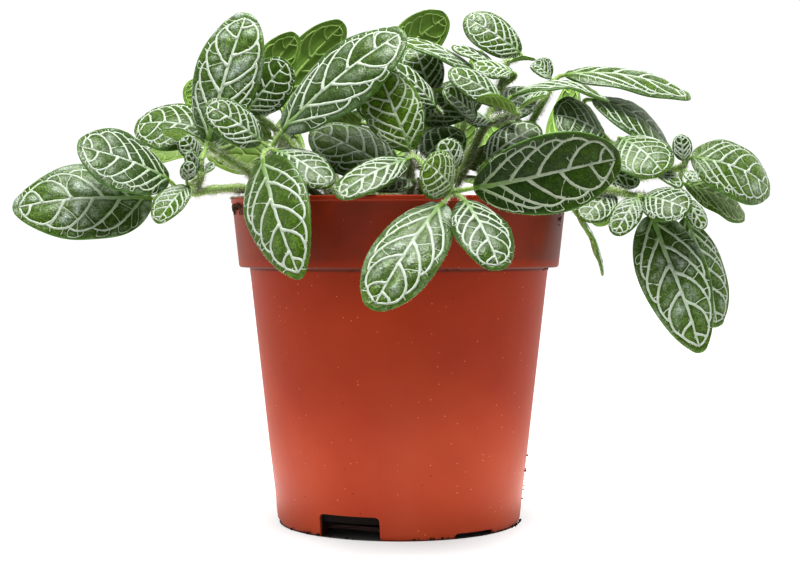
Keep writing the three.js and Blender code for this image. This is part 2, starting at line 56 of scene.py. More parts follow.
# The camera stands level in front of the pot, a little below the height of its rim. The picture is
# cut from the lower part of the lens's view, as a small downward shift gives.
camera_distance = 0.575
camera_height = 0.1
camera_aside = 0.0004
camera = bpy.data.objects.new("camera", bpy.data.cameras.new("camera"))
camera.data.sensor_width = 36
camera.data.lens = 72
camera.data.shift_y = -0.0519
camera.location = (camera_aside, -camera_distance, camera_height)
camera.rotation_euler = (math.pi / 2, 0, 0)
bpy.context.scene.collection.objects.link(camera)
bpy.context.scene.camera = camera


# The studio is a sheet of white paper on a table in a room with lit white walls, under soft lights
# that hang close over the plant. These give the leaves their veil of sheen, and the walls give the
# pot's flanks long soft reflections and leave its front deep in colour.
def linear(colour):
    """Turns an sRGB hex colour into the linear colour that a shader takes."""
    parts = [int(colour[i:i + 2], 16) / 255 for i in (1, 3, 5)]
    return (*[p / 12.92 if p < 0.04045 else ((p + 0.055) / 1.055) ** 2.4 for p in parts], 1)


def fill(owner, sockets):
    """Gives a node's sockets their values: numbers, hex colours, outputs, or nodes for their first output."""
    for name, value in sockets.items():
        if isinstance(value, bpy.types.Node):
            value = next(output for output in value.outputs if output.enabled)
        if isinstance(value, bpy.types.NodeSocket):
            owner.id_data.links.new(value, owner.inputs[name])
        else:
            owner.inputs[name].default_value = linear(value) if isinstance(value, str) else value


def node(tree, kind, sockets, stops=(), **settings):
    """Adds a node with its settings and links. A ramp's stops are positions with greys or hex colours."""
    made = tree.nodes.new("ShaderNode" + kind)
    for name, value in settings.items():
        setattr(made, name, value)
    fill(made, sockets)
    if stops:
        ramp = made.color_ramp.elements
        ramp.remove(ramp[1])
        ramp[0].position = stops[0][0]
        for i, (position, colour) in enumerate(stops):
            stop = ramp.new(position) if i else ramp[0]
            stop.color = linear(colour) if isinstance(colour, str) else (colour, colour, colour, 1)
    return made


def new_material(name, constants):
    """A material whose shader has the constants on its own sockets.

    Returns it, its tree, its shader and the place of each point on the object.
    """
    material = bpy.data.materials.new(name)
    material.use_nodes = True
    tree = material.node_tree
    shader = tree.nodes["Principled BSDF"]
    fill(shader, constants)
    return material, tree, shader, node(tree, "TexCoord", {}).outputs["Object"]


def new_object(name, mesh, materials, smooth_below=180):
    """Puts a mesh into the scene, with soft shading except over edges sharper than the angle."""
    made = bpy.data.objects.new(name, mesh)
    for material in materials:
        mesh.materials.append(material)
    mesh.shade_smooth()
    if smooth_below < 180:
        mesh.set_sharp_from_angle(angle=math.radians(smooth_below))
    bpy.context.scene.collection.objects.link(made)
    return made


# The paper is uncoated: matt all over. It glows, as painted light, where it runs back to the wall, and
# not where the pot stands, which paints the pot's shadow; the glow fades with the distance from the pot,
# sooner at its sides.
paper, tree, shader, place = new_material("white_paper", {
    "Base Color": "#808080", "Roughness": 0.9, "Specular IOR Level": 0.1, "Emission Color": "#ffffff",
})
painted_shadow_radius = 0.0427
glow_reach = 0.2
side_shortening = 1.38
# Under the pot's foot the paper does not glow, and the weak glow just outside paints the pot's soft shadow.
from_axis = node(tree, "VectorMath", {0: place}, operation="LENGTH")
clear = node(tree, "Math", {0: from_axis, 1: painted_shadow_radius}, operation="GREATER_THAN")
away = node(tree, "VectorMath", {0: place, 1: (side_shortening, 1, 1)}, operation="MULTIPLY")
away = node(tree, "VectorMath", {0: away}, operation="LENGTH")
away = node(tree, "Math", {0: away, 1: 1 / glow_reach}, operation="MULTIPLY")
lit = node(tree, "ValToRGB", {"Fac": away}, stops=(
    (0.222, 0.24), (0.36, 0.3), (0.47, 1.0), (0.6, 1.0), (1.0, 0.3),
))
way = node(tree, "SeparateXYZ", {"Vector": place})
# Painted light: the glow is stronger near and behind the pot than far in front, and weaker in a strip through
# the pot's middle, which leaves the pot's front less lit than its flanks.
front = node(tree, "MapRange", {
    "Value": way.outputs["Y"], "From Min": -0.3, "From Max": -0.15, "To Min": 1.9, "To Max": 3.5,
}, interpolation_type="SMOOTHSTEP")
aside = node(tree, "Math", {0: way.outputs["X"]}, operation="ABSOLUTE")
aside = node(tree, "MapRange", {
    "Value": aside, "From Min": 0.01, "From Max": 0.1, "To Min": 0.68, "To Max": 1.0,
}, interpolation_type="SMOOTHSTEP")
for share in (front, aside, clear):
    lit = node(tree, "Math", {0: lit, 1: share}, operation="MULTIPLY")
fill(shader, {"Emission Strength": lit})
floor_half = 4.0
floor_mesh = bpy.data.meshes.new("floor")
floor_mesh.from_pydata(
    [(x * floor_half, y * floor_half, 0) for x, y in ((-1, -1), (1, -1), (1, 1), (-1, 1))],
    [],
    [(0, 1, 2, 3)],
)
floor = new_object("floor", floor_mesh, [paper])

# Two wide soft lights hang above. The low one has a narrow beam and stands for the light that the
# paper in front throws at the pot's foot. Places and sizes are in metres, and power is in watts.
for name, spot, target, size, power, spread in (
    ("light_above", (0, -0.1, 0.62), (0, 0, 0.1), (0.4, 0.3), 2.9, 180),
    ("light_front", (0, -0.28, 0.8), (0, 0, 0.08), (0.36, 0.22), 5.2, 180),
    ("light_low", (0, -0.26, 0.012), (0, -0.045, 0.01), (0.3, 0.02), 0.032, 26),
):
    lamp = bpy.data.lights.new(name, "AREA")
    lamp.shape = "RECTANGLE"
    lamp.size, lamp.size_y = size
    lamp.energy = power
    lamp.spread = math.radians(spread)
    light = bpy.data.objects.new(name, lamp)
    light.location = spot
    light.rotation_euler = (Vector(target) - Vector(spot)).to_track_quat("-Z", "Y").to_euler()
    bpy.context.scene.collection.objects.link(light)

# The room's walls are lit, each by its own share, and its ceiling is not
room = bpy.data.worlds.new("white_room")
room.use_nodes = True
tree = room.node_tree
way = node(tree, "TexCoord", {}).outputs["Generated"]
way = node(tree, "SeparateXYZ", {"Vector": way})
ceiling_glow = 0.03
glow = ceiling_glow
for side, begin, full, strength in (
    ("Y", 0.1, 0.8, 1.0), ("Y", -0.3, -0.9, 0.1), ("X", -0.3, -0.9, 1.75), ("X", 0.3, 0.9, 1.35),
):
    lit_wall = node(tree, "MapRange", {
        "Value": way.outputs[side], "From Min": begin, "From Max": full, "To Max": strength,
    }, interpolation_type="SMOOTHSTEP")
    glow = node(tree, "Math", {0: lit_wall, 1: glow}, operation="ADD")
fill(tree.nodes["Background"], {"Strength": glow, "Color": "#ffffff"})
bpy.context.scene.world = room
bpy.context.scene.view_settings.view_transform = "Standard"
bpy.context.scene.view_settings.gamma = 0.75

# The pot is one injection moulding in terracotta-coloured polypropylene: a tapered body, a wider
# rim band with a thin lip, and a foot ring with drain notches. Its satin skin is slightly uneven.
MM = 0.001
pot_height = 115
rim_radius = 60
band_foot_radius = 57.1
band_foot_height = 91.2
neck_radius = 53.4
foot_radius = 43.3
wall = 1.2
foot_ring_inside = 38
floor_low, floor_high = 2, 3.2
lip_height = 1.5
lip_proud = 0.35
notch_bearings = (-113, 7, 127)
notch_size = (22, 8)
slit_bearings = (-53, 67, 187)
slit_size = (16.5, 1.8)
pot_sides = 180


def rounded(corners):
    """Replaces each corner (radius, height, rounding) of a profile by a short arc."""
    points = []
    for i, (r, z, rounding) in enumerate(corners):
        here = Vector((r, z))
        if rounding == 0 or i in (0, len(corners) - 1):
            points.append(here)
            continue
        before = Vector(corners[i - 1][:2]) - here
        after = Vector(corners[i + 1][:2]) - here
        start = here + before.normalized() * min(rounding, before.length / 2)
        end = here + after.normalized() * min(rounding, after.length / 2)
        for k in range(5):
            u = k / 4
            points.append(start * (1 - u) ** 2 + here * 2 * u * (1 - u) + end * u ** 2)
    return points


def finished(mesh, name):
    """Turns a mesh under work into one that an object can hold."""
    made = bpy.data.meshes.new(name)
    mesh.to_mesh(made)
    mesh.free()
    return made


def turned(name, profile, sides):
    """A mesh made by turning a profile that starts and ends on the axis."""
    mesh = bmesh.new()
    rings = []
    turns = [2 * math.pi * j / sides for j in range(sides)]
    for r, z in profile:
        around = turns if r > 1e-6 else [0]
        rings.append([mesh.verts.new((r * MM * math.cos(a), r * MM * math.sin(a), z * MM)) for a in around])
    for low, high in zip(rings, rings[1:]):
        for j in range(sides):
            k = (j + 1) % sides
            corners = [low[j % len(low)], low[k % len(low)], high[k % len(high)], high[j % len(high)]]
            mesh.faces.new(list(dict.fromkeys(corners)))
    bmesh.ops.recalc_face_normals(mesh, faces=mesh.faces)
    return finished(mesh, name)


def gate(bearing, width, height):
    """A rounded gate-shaped block that cuts a notch outwards through the foot."""
    corner = min(1.5, 0.6 * height)
    outline = [(-width / 2, -height), (width / 2, -height)]
    for centre, turn in ((width / 2 - corner, 0), (corner - width / 2, 90)):
        for k in range(6):
            a = math.radians(turn + 18 * k)
            outline.append((centre + corner * math.cos(a), height - corner + corner * math.sin(a)))
    a = math.radians(bearing)
    out, aside = Vector((math.cos(a), math.sin(a), 0)), Vector((-math.sin(a), math.cos(a), 0))
    mesh = bmesh.new()
    ends = [
        [mesh.verts.new((out * r + aside * x + Vector((0, 0, z))) * MM) for x, z in outline]
        for r in (foot_radius - 8, foot_radius + 6)
    ]
    mesh.faces.new(ends[0])
    mesh.faces.new(ends[1])
    for j in range(len(outline)):
        k = (j + 1) % len(outline)
        mesh.faces.new([ends[0][j], ends[0][k], ends[1][k], ends[1][j]])
    bmesh.ops.recalc_face_normals(mesh, faces=mesh.faces)
    return bpy.data.objects.new("cutter", finished(mesh, "cutter"))


pot_profile = rounded([
    (0, floor_low, 0),
    (foot_ring_inside, floor_low, 0.4),
    (foot_ring_inside, 0, 0.3),
    (foot_radius - 0.9, 0, 0.9),
    (foot_radius, 1.2, 0.9),
    (neck_radius - 0.05, band_foot_height - 0.5, 0.4),
    (band_foot_radius - 0.5, band_foot_height - 0.45, 0.3),
    (band_foot_radius, band_foot_height + 0.1, 0.4),
    (rim_radius - lip_proud - 0.15, pot_height - lip_height - 0.5, 0.3),
    (rim_radius - 0.1, pot_height - lip_height, 0.3),
    (rim_radius, pot_height - 0.05, 0.55),
    (rim_radius - 1.7, pot_height - 0.05, 0.5),
    (band_foot_radius - wall, band_foot_height + wall, 1),
    (neck_radius - wall, band_foot_height - wall, 1),
    (foot_radius - wall, floor_high + 0.2, 1.5),
    (0, floor_high, 0),
])
# Moulded polypropylene has a soft waxy gloss, with faint cloudy flow marks and a fine grain from its
# mould. The grain, and the dust and peat on it, are finer than a pixel, so both are drawn coarser.
polypropylene, tree, shader, place = new_material("moulded_polypropylene", {
    "Roughness": 0.46, "Specular IOR Level": 0.24,
})
flow_mark = 38.46
mould_grain = 1.111
speck_spacing = 2.222
speck_radius = 0.095
dusty_share, peaty_share = 0.28, 0.07
splash_width = 26.32
clouds = node(tree, "TexNoise", {"Vector": place, "Scale": 1 / (flow_mark * MM), "Detail": 4})
skin = node(tree, "ValToRGB", {"Fac": clouds}, stops=((0.3, "#8a2e0e"), (0.7, "#953711")))
grain = node(tree, "TexNoise", {"Vector": place, "Scale": 1 / (mould_grain * MM), "Detail": 2})
bump = node(tree, "Bump", {"Height": grain, "Strength": 0.08, "Distance": 0.4 * MM})
# Specks of two kinds: each cell of the pattern has a random colour, which says whether it holds one.
# Their radius is a share of the cell's size.
specks = node(tree, "TexVoronoi", {"Vector": place, "Scale": 1 / (speck_spacing * MM)})
kind = node(tree, "SeparateColor", {"Color": specks.outputs["Color"]})
speck = node(tree, "Math", {0: specks, 1: speck_radius}, operation="LESS_THAN")
dusty = node(tree, "Math", {0: kind.outputs["Red"], 1: 1 - dusty_share}, operation="GREATER_THAN")
peaty = node(tree, "Math", {0: kind.outputs["Green"], 1: 1 - peaty_share}, operation="GREATER_THAN")
# A dark film on the rim band is partly dried soil from splashes and partly painted shade from the leaves
# above it, and the dark line in the corner under the band is painted shade. A pale film thickest at the foot
# is partly dust and partly a painted reflection of the paper, and what the notches show of the pot's
# underside is made near black.
way = node(tree, "SeparateXYZ", {"Vector": place})
height = way.outputs["Z"]
# The dark line in the corner under the rim band is painted shade.
corner = node(tree, "Math", {0: height, 1: (band_foot_height - 0.6) * MM}, operation="SUBTRACT")
corner = node(tree, "Math", {0: corner}, operation="ABSOLUTE")
foot_dust_and_reflection, band, lip, right, corner = [
    node(tree, "MapRange", {
        "Value": value, "From Min": begin * MM, "From Max": end * MM, "To Min": first, "To Max": last,
    })
    for value, begin, end, first, last in (
        (height, 0, 80, 0.1, 0),
        (height, band_foot_height, band_foot_height + 3, 0, 1),
        (height, pot_height - 3, pot_height - 1.6, 1, 0),
        # heavier towards the right: painted shade from the leaves above the band
        (way.outputs["X"], 25, 50, 0, 0.3),
        (corner, 0.4, 1.1, 0.75, 0),
    )
]
splashes_and_shade = node(tree, "TexNoise", {
    "Vector": place, "Scale": 1 / (splash_width * MM), "Detail": 5, "Roughness": 0.65,
})
splashes_and_shade = node(tree, "MapRange", {
    "Value": splashes_and_shade, "From Min": 0.35, "From Max": 0.65, "To Min": 0.15, "To Max": 0.5,
})
splashes_and_shade = node(tree, "Math", {0: splashes_and_shade, 1: right}, operation="ADD")
from_axis = node(tree, "VectorMath", {0: place, 1: (1, 1, 0)}, operation="MULTIPLY")
from_axis = node(tree, "VectorMath", {0: from_axis}, operation="LENGTH")
inside = node(tree, "Math", {0: from_axis, 1: (foot_radius - wall) * MM}, operation="LESS_THAN")
low = node(tree, "Math", {0: height, 1: (notch_size[1] + 1) * MM}, operation="LESS_THAN")
for colour, share, *steps in (
    # a pale film towards the foot: partly dust, partly a painted reflection of the paper
    ("#b8a080", foot_dust_and_reflection, ("MULTIPLY", clouds)),
    ("#b9745d", speck, ("MULTIPLY", dusty)),
    ("#4a2014", speck, ("MULTIPLY", peaty)),
    ("#4f2c21", band, ("MULTIPLY", lip), ("MULTIPLY", splashes_and_shade), ("MAXIMUM", corner)),
    ("#120c08", inside, ("MULTIPLY", low), ("MULTIPLY", 0.93)),
):
    for operation, value in steps:
        share = node(tree, "Math", {0: share, 1: value}, operation=operation)
    skin = node(tree, "Mix", {"Factor": share, "A": skin, "B": colour}, data_type="RGBA")
fill(shader, {"Base Color": skin, "Normal": bump})

pot = new_object("pot_moulded", turned("pot_moulded", pot_profile, pot_sides), [polypropylene])
for bearing in notch_bearings + slit_bearings:
    cutter = gate(bearing, *(notch_size if bearing in notch_bearings else slit_size))
    bpy.context.scene.collection.objects.link(cutter)
    cut = pot.modifiers.new("cut", "BOOLEAN")
    cut.object = cutter
    cut.operation = "DIFFERENCE"
    cut.solver = "EXACT"
    shaped = bpy.data.meshes.new_from_object(pot.evaluated_get(bpy.context.evaluated_depsgraph_get()))
    pot.modifiers.clear()
    pot.data = shaped
    bpy.data.objects.remove(cutter)
pot.data.shade_smooth()
pot.data.set_sharp_from_angle(angle=math.radians(40))
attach(pot, "root")
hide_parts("pot")

# The potting soil is dark moist peat, filled loosely to just below the rim. Its sides follow the
# pot's wall, and its top is a rough, lumpy crust.
soil_top = 106
soil_gap = 0.3
# Moist peat is nearly black-brown, with paler fibres, and has no gloss. It darkens to near black towards
# the bottom of the pot.
peat, tree, shader, place = new_material("moist_peat", {"Roughness": 0.9, "Specular IOR Level": 0.25})
fibre = 2.0
fibres = node(tree, "TexNoise", {
    "Vector": place, "Scale": 1 / (fibre * MM), "Detail": 4, "Roughness": 0.7,
})
moist = node(tree, "ValToRGB", {"Fac": fibres}, stops=((0.35, "#23160f"), (0.72, "#6b513d")))
bump = node(tree, "Bump", {"Height": fibres, "Strength": 0.7, "Distance": 0.6 * MM})
level = node(tree, "SeparateXYZ", {"Vector": place}).outputs["Z"]
towards_bottom = node(tree, "MapRange", {
    "Value": level, "From Min": 8 * MM, "From Max": 30 * MM, "To Min": 0.9, "To Max": 0.0,
})
moist = node(tree, "Mix", {"Factor": towards_bottom, "A": moist, "B": "#0f0b08"}, data_type="RGBA")
fill(shader, {"Base Color": moist, "Normal": bump})

soil_side_radius = band_foot_radius - wall - soil_gap + 0.15 * (soil_top - band_foot_height)
soil_rings = 46
soil_sides = 140
soil_profile = [Vector((soil_side_radius * (i / soil_rings) ** 0.8, soil_top)) for i in range(soil_rings)]
soil_profile += [
    Vector((soil_side_radius, soil_top - 0.6)),
    Vector((band_foot_radius - wall - soil_gap, band_foot_height + 2 * wall)),
    Vector((neck_radius - wall - soil_gap, band_foot_height - wall)),
    Vector((foot_radius - wall - soil_gap, floor_high + 2)),
    Vector((0, floor_high + soil_gap)),
]
soil_mesh = turned("potting_soil", soil_profile, soil_sides)
for vertex in soil_mesh.vertices:
    if vertex.co.z > (soil_top - 0.1) * MM:
        spot = vertex.co / MM
        for rise, spread in ((0.9, 0.09), (0.8, 0.34), (0.5, 0.9)):
            vertex.co.z += rise * noise.noise(spot * spread) * MM
soil = new_object("potting_soil", soil_mesh, [peat])
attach(soil, "root")
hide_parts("soil")


# Loose crumbs of the same peat lie on the crust, and others cling where water has left them: under
# the pot's lip, under its rim band and above its foot. Some lie on the paper round the foot.
def crumb(mesh, centre, size, draw):
    """A lump: a twenty-sided ball, stretched, with its corners pushed about."""
    made = bmesh.ops.create_icosphere(mesh, subdivisions=1, radius=1)["verts"]
    stretch = Vector([draw.uniform(0.6, 1.3) for _ in range(3)])
    for vertex in made:
        vertex.co = vertex.co * stretch * draw.uniform(0.7, 1.15) * size * MM
        vertex.co += Vector(centre) * MM


loose_crumbs = 600
draw = random.Random(5)
crumbs = bmesh.new()
for _ in range(loose_crumbs):
    r = soil_side_radius * math.sqrt(draw.random()) * 0.985
    a = draw.uniform(0, 2 * math.pi)
    size = draw.choice((0.5, 0.7, 0.9, 1.3))
    crumb(crumbs, (r * math.cos(a), r * math.sin(a), soil_top + 0.25), size, draw)
# Where crumbs cling to the pot: bearing and height, how far they spread each way, and how many
clinging = [
    (196, 111.8, 7, 1, 70), (195, 110.6, 2.5, 1.4, 26), (204, 110.6, 2, 1.6, 30),
    (-20, 111, 7, 1.3, 60), (-19, 107.5, 1, 2.6, 9), (-14, 90.4, 6, 0.7, 16),
    (-107, 90.2, 1.6, 0.6, 4), (-70, 90.4, 9, 0.5, 6), (-2, 12, 1.2, 5, 6), (-8, 21, 1.2, 3, 3),
    (-60, 0.5, 24, 0.3, 34), (-130, 0.5, 20, 0.3, 20), (-20, 0.5, 16, 0.3, 22),
]
for bearing, height, aside, spread, count in clinging:
    for _ in range(count):
        z = max(0.6, height + draw.uniform(-spread, spread))
        if z > band_foot_height:
            share = (z - band_foot_height) / (pot_height - band_foot_height)
            r = band_foot_radius + (rim_radius - band_foot_radius) * share
        else:
            r = foot_radius + (neck_radius - foot_radius) * z / band_foot_height
        r += 0.15
        a = math.radians(bearing + draw.uniform(-aside, aside))
        size = draw.uniform(0.25, 0.5) if height < 80 else draw.uniform(0.15, 0.42)
        crumb(crumbs, (r * math.cos(a), r * math.sin(a), z), size, draw)
soil_crumbs = new_object("soil_crumbs", finished(crumbs, "soil_crumbs"), [peat], smooth_below=30)
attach(soil_crumbs, "root")

# Grains of perlite, the white volcanic glass that loosens potting soil, lie in the soil and on the
# left of the pot's lip. Perlite is puffed up by heat: matt, rough and white, dirtied by the peat.
perlite, tree, shader, place = new_material("puffed_perlite", {"Roughness": 0.8, "Specular IOR Level": 0.2})
dirt_patch = 1.111
dirt = node(tree, "TexNoise", {"Vector": place, "Scale": 1 / (dirt_patch * MM), "Detail": 2})
dirtied = node(tree, "Mix", {"Factor": dirt, "A": "#6f6860", "B": "#d8d2c8"}, data_type="RGBA")
fill(shader, {"Base Color": dirtied})
grains_on_lip, grains_in_soil = 34, 40
draw = random.Random(8)
grains = bmesh.new()
for _ in range(grains_on_lip):
    a = math.radians(draw.uniform(176, 210))
    r = rim_radius - draw.uniform(-0.1, 1.5)
    crumb(grains, (r * math.cos(a), r * math.sin(a), pot_height + 0.25), draw.uniform(0.3, 0.65), draw)
for _ in range(grains_in_soil):
    r = soil_side_radius * math.sqrt(draw.random()) * 0.97
    a = draw.uniform(0, 2 * math.pi)
    crumb(grains, (r * math.cos(a), r * math.sin(a), soil_top + 0.6), draw.uniform(0.4, 0.9), draw)
perlite_grains = new_object("perlite_grains", finished(grains, "perlite_grains"), [perlite], smooth_below=30)
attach(perlite_grains, "root")

# The plant is a nerve plant: creeping hairy stems that root in the soil, with leaves in opposite
# pairs on short stalks. The sizes below are those of the solids in the frame, so that each fine
# leaf lies where its plain solid does.
stem_radius, twig_radius = 1.7, 1.1
petiole_radius = 0.85
stem_foot = 96
stem_straight = 4
blade_blunt = 0.6
blade_thickness = 0.5
outline_taper = 1.24
short_leaf, short_leaf_slim = 14, 0.7
longest_leaf = 48
stalk_bend = 0.45


def leaf(base, tip, width, face, arch, cup, widest=0.52, **looks):
    """One leaf: its blade's ends, its width, where its upper face looks, and how it bends."""
    base, tip, face = [np.array(p, float) for p in (base, tip, face)]
    return {"base": base, "tip": tip, "length": float(np.linalg.norm(tip - base)), "width": width,
            "face": face, "arch": arch, "cup": cup, "widest": widest, **looks}


def unit(v):
    """The same directions with a length of one."""
    return v / np.linalg.norm(v, axis=-1, keepdims=True)


def fullness(s, widest):
    """How full a blade's outline is at a share s of its length, 1 where it is widest."""
    base_taper, tip_taper = outline_taper * widest, outline_taper * (1 - widest)
    return s ** base_taper * (1 - s) ** tip_taper / (widest ** base_taper * (1 - widest) ** tip_taper)


def half_width(leaf, s):
    """Half the blade's width at shares s of its length."""
    return blade_blunt + (leaf["width"] / 2 - blade_blunt) * fullness(s, leaf["widest"])


def on_blade(leaf, s, t):
    """Points of a blade's middle surface at shares s of its length and t of its half width."""
    run = leaf["tip"] - leaf["base"]
    across = unit(np.cross(run, leaf["face"]))
    face = unit(np.cross(across, run))
    full = fullness(s, leaf["widest"])
    edge = np.abs(t)
    # Arched along its length, cupped across it, folded up from the midrib, and wavy at its edge
    rise = leaf["arch"] * 4 * s * (1 - s) + leaf["cup"] * full * t * t
    rise = rise + leaf["keel"] * full * edge * (1 - 0.8 * edge)
    rise = rise + leaf["wave"] * full * edge ** 3 * np.sin(leaf["waves"] * s + leaf["phase"] + 2 * np.sign(t))
    aside = t * half_width(leaf, s)
    return leaf["base"] + s[..., None] * run + aside[..., None] * across + rise[..., None] * face


def blade_normal(leaf, s, t):
    """The upper side's direction at the same shares."""
    step = 0.01
    s = np.clip(s, step * 2, 1 - step * 2)
    along = on_blade(leaf, s + step, t) - on_blade(leaf, s - step, t)
    aside = on_blade(leaf, s, t + step) - on_blade(leaf, s, t - step)
    return unit(np.cross(aside, along))


def curve_through(points, steps):
    """A smooth curve through the points, centripetal, with so many steps between each two."""
    p = [2 * points[0] - points[1], *points, 2 * points[-1] - points[-2]]
    curve = []
    for a, b, c, d in zip(p, p[1:], p[2:], p[3:]):
        ab, bc, cd = [math.sqrt(np.linalg.norm(v)) for v in (b - a, c - b, d - c)]
        leave = (b - a) / ab - (c - a) / (ab + bc) + (c - b) / bc
        arrive = (c - b) / bc - (d - b) / (bc + cd) + (d - c) / cd
        for k in range(steps):
            u = k / steps
            curve.append(
                b * (2 * u ** 3 - 3 * u ** 2 + 1) + c * (3 * u ** 2 - 2 * u ** 3)
                + leave * bc * (u ** 3 - 2 * u ** 2 + u) + arrive * bc * (u ** 3 - u ** 2)
            )
    return np.array([*curve, points[-1]])


def bezier(points, count):
    """A cubic curve with four given points."""
    a, b, c, d = [np.array(p, float) for p in points]
    u = np.linspace(0, 1, count)[:, None]
    return a * (1 - u) ** 3 + 3 * b * u * (1 - u) ** 2 + 3 * c * u * u * (1 - u) + d * u ** 3


def grid_faces(rows, columns, closed=False):
    """The four-sided faces of a grid of points, which may close round on itself."""
    i, j = np.meshgrid(np.arange(rows - 1), np.arange(columns if closed else columns - 1), indexing="ij")
    a, b = i * columns + j, i * columns + (j + 1) % columns
    return np.stack([a, b, b + columns, a + columns], -1).reshape(-1, 4)


class Growth:
    """Gathers the points, faces, finishes and tints of one leafy stem until they become a mesh."""

    def __init__(self):
        self.points, self.tints, self.faces, self.finishes = [], [], [], []
        self.start, self.count = 0, 0

    def add(self, points, faces, finish, tint):
        """Takes in points with their tints, and the faces on them with their finishes."""
        points = np.asarray(points, float).reshape(-1, 3)
        self.points.append(points)
        self.tints.append(np.broadcast_to(np.asarray(tint, float), (len(points), 4)))
        self.start, self.count = self.count, self.count + len(points)
        self.add_faces(faces, finish)

    def add_faces(self, faces, finish):
        """Takes in faces on the points that were added last."""
        self.faces.append(np.asarray(faces) + self.start)
        self.finishes.append(np.broadcast_to(finish, (len(faces),)))

    def mesh(self, name):
        """The mesh of all that was added. Nothing stands outside the object's measured box."""
        made = bpy.data.meshes.new(name)
        points = np.clip(np.concatenate(self.points) * MM, cad_low, cad_high)
        made.vertices.add(len(points))
        made.vertices.foreach_set("co", points.ravel())
        sizes = np.concatenate([np.full(len(f), f.shape[1]) for f in self.faces])
        made.loops.add(int(sizes.sum()))
        made.loops.foreach_set("vertex_index", np.concatenate([f.ravel() for f in self.faces]))
        made.polygons.add(len(sizes))
        made.polygons.foreach_set("loop_start", np.concatenate([[0], np.cumsum(sizes)[:-1]]))
        made.polygons.foreach_set("material_index", np.concatenate(self.finishes).astype(np.int32))
        tint = made.attributes.new("tint", "FLOAT_COLOR", "POINT")
        tint.data.foreach_set("color", np.concatenate(self.tints).ravel())
        made.update(calc_edges=True)
        made.validate()
        return made


# The numbers of the finishes, as the materials of a grown stem are ordered
UPPER, LOWER, VEIN, RIB, STEM, HAIR = range(6)


def tube(growth, centres, radii, sides, youth):
    """Adds a closed round tube through the centres. Returns its rings and their outward directions."""
    along = unit(np.gradient(centres, axis=0))
    normal = unit(np.cross(along[0], (0.3, 0.5, 0.81)))
    outward = []
    turns = np.linspace(0, 2 * np.pi, sides, endpoint=False)[:, None]
    for heading in along:
        normal = unit(normal - heading * normal.dot(heading))
        outward.append(np.cos(turns) * normal + np.sin(turns) * np.cross(heading, normal))
    outward = np.array(outward)
    rings = centres[:, None] + outward * radii[:, None, None]
    points = np.concatenate([rings.reshape(-1, 3), centres[:1], centres[-1:]])
    youth = np.concatenate([np.repeat(youth, sides), youth[:1], youth[-1:]])
    growth.add(points, grid_faces(len(centres), sides, closed=True), STEM, np.outer(youth, (1, 0, 0, 0)))
    j = np.arange(sides)
    k = (j + 1) % sides
    last_ring = (len(centres) - 1) * sides
    growth.add_faces(np.stack([np.full(sides, len(points) - 2), k, j], 1), STEM)
    growth.add_faces(np.stack([np.full(sides, len(points) - 1), j + last_ring, k + last_ring], 1), STEM)
    return rings, outward


def hairs(growth, roots, headings, lengths, thickness):
    """Adds a fine three-sided spike for each hair."""
    headings = unit(headings)
    side = unit(np.cross(headings, (0.31, 0.77, 0.55)))
    other = np.cross(headings, side)
    corners = [
        roots + thickness * (math.cos(a) * side + math.sin(a) * other) - 0.1 * headings
        for a in np.radians((0, 120, 240))
    ]
    points = np.stack([*corners, roots + headings * lengths[:, None]], 1)
    k = 4 * np.arange(len(roots))[:, None, None]
    faces = (k + np.array([[0, 1, 3], [1, 2, 3], [2, 0, 3], [0, 2, 1]])).reshape(-1, 3)
    growth.add(points, faces, HAIR, (0, 0, 0, 0))


def hairs_on_tube(growth, rings, outward, rng, density, length, thickness):
    """Scatters hairs over a tube, so many a square millimetre, leaning a little every way."""
    girths = np.linalg.norm(rings[:, 1] - rings[:, 0], axis=1) * rings.shape[1]
    steps = np.linalg.norm(np.diff(rings.mean(1), axis=0), axis=1)
    areas = steps * (girths[1:] + girths[:-1]) / 2
    count = int(density * areas.sum())
    if count == 0:
        return
    i = rng.choice(len(steps), count, p=areas / areas.sum())
    j = rng.integers(rings.shape[1], size=count)
    k = (j + 1) % rings.shape[1]
    u, v = rng.random((2, count, 1))
    low = rings[i, j] * (1 - u) + rings[i, k] * u
    high = rings[i + 1, j] * (1 - u) + rings[i + 1, k] * u
    headings = outward[i, j] * (1 - u) + outward[i, k] * u + rng.normal(0, 0.28, (count, 3))
    hairs(growth, low * (1 - v) + high * v, headings, length * rng.uniform(0.45, 1.15, count), thickness)


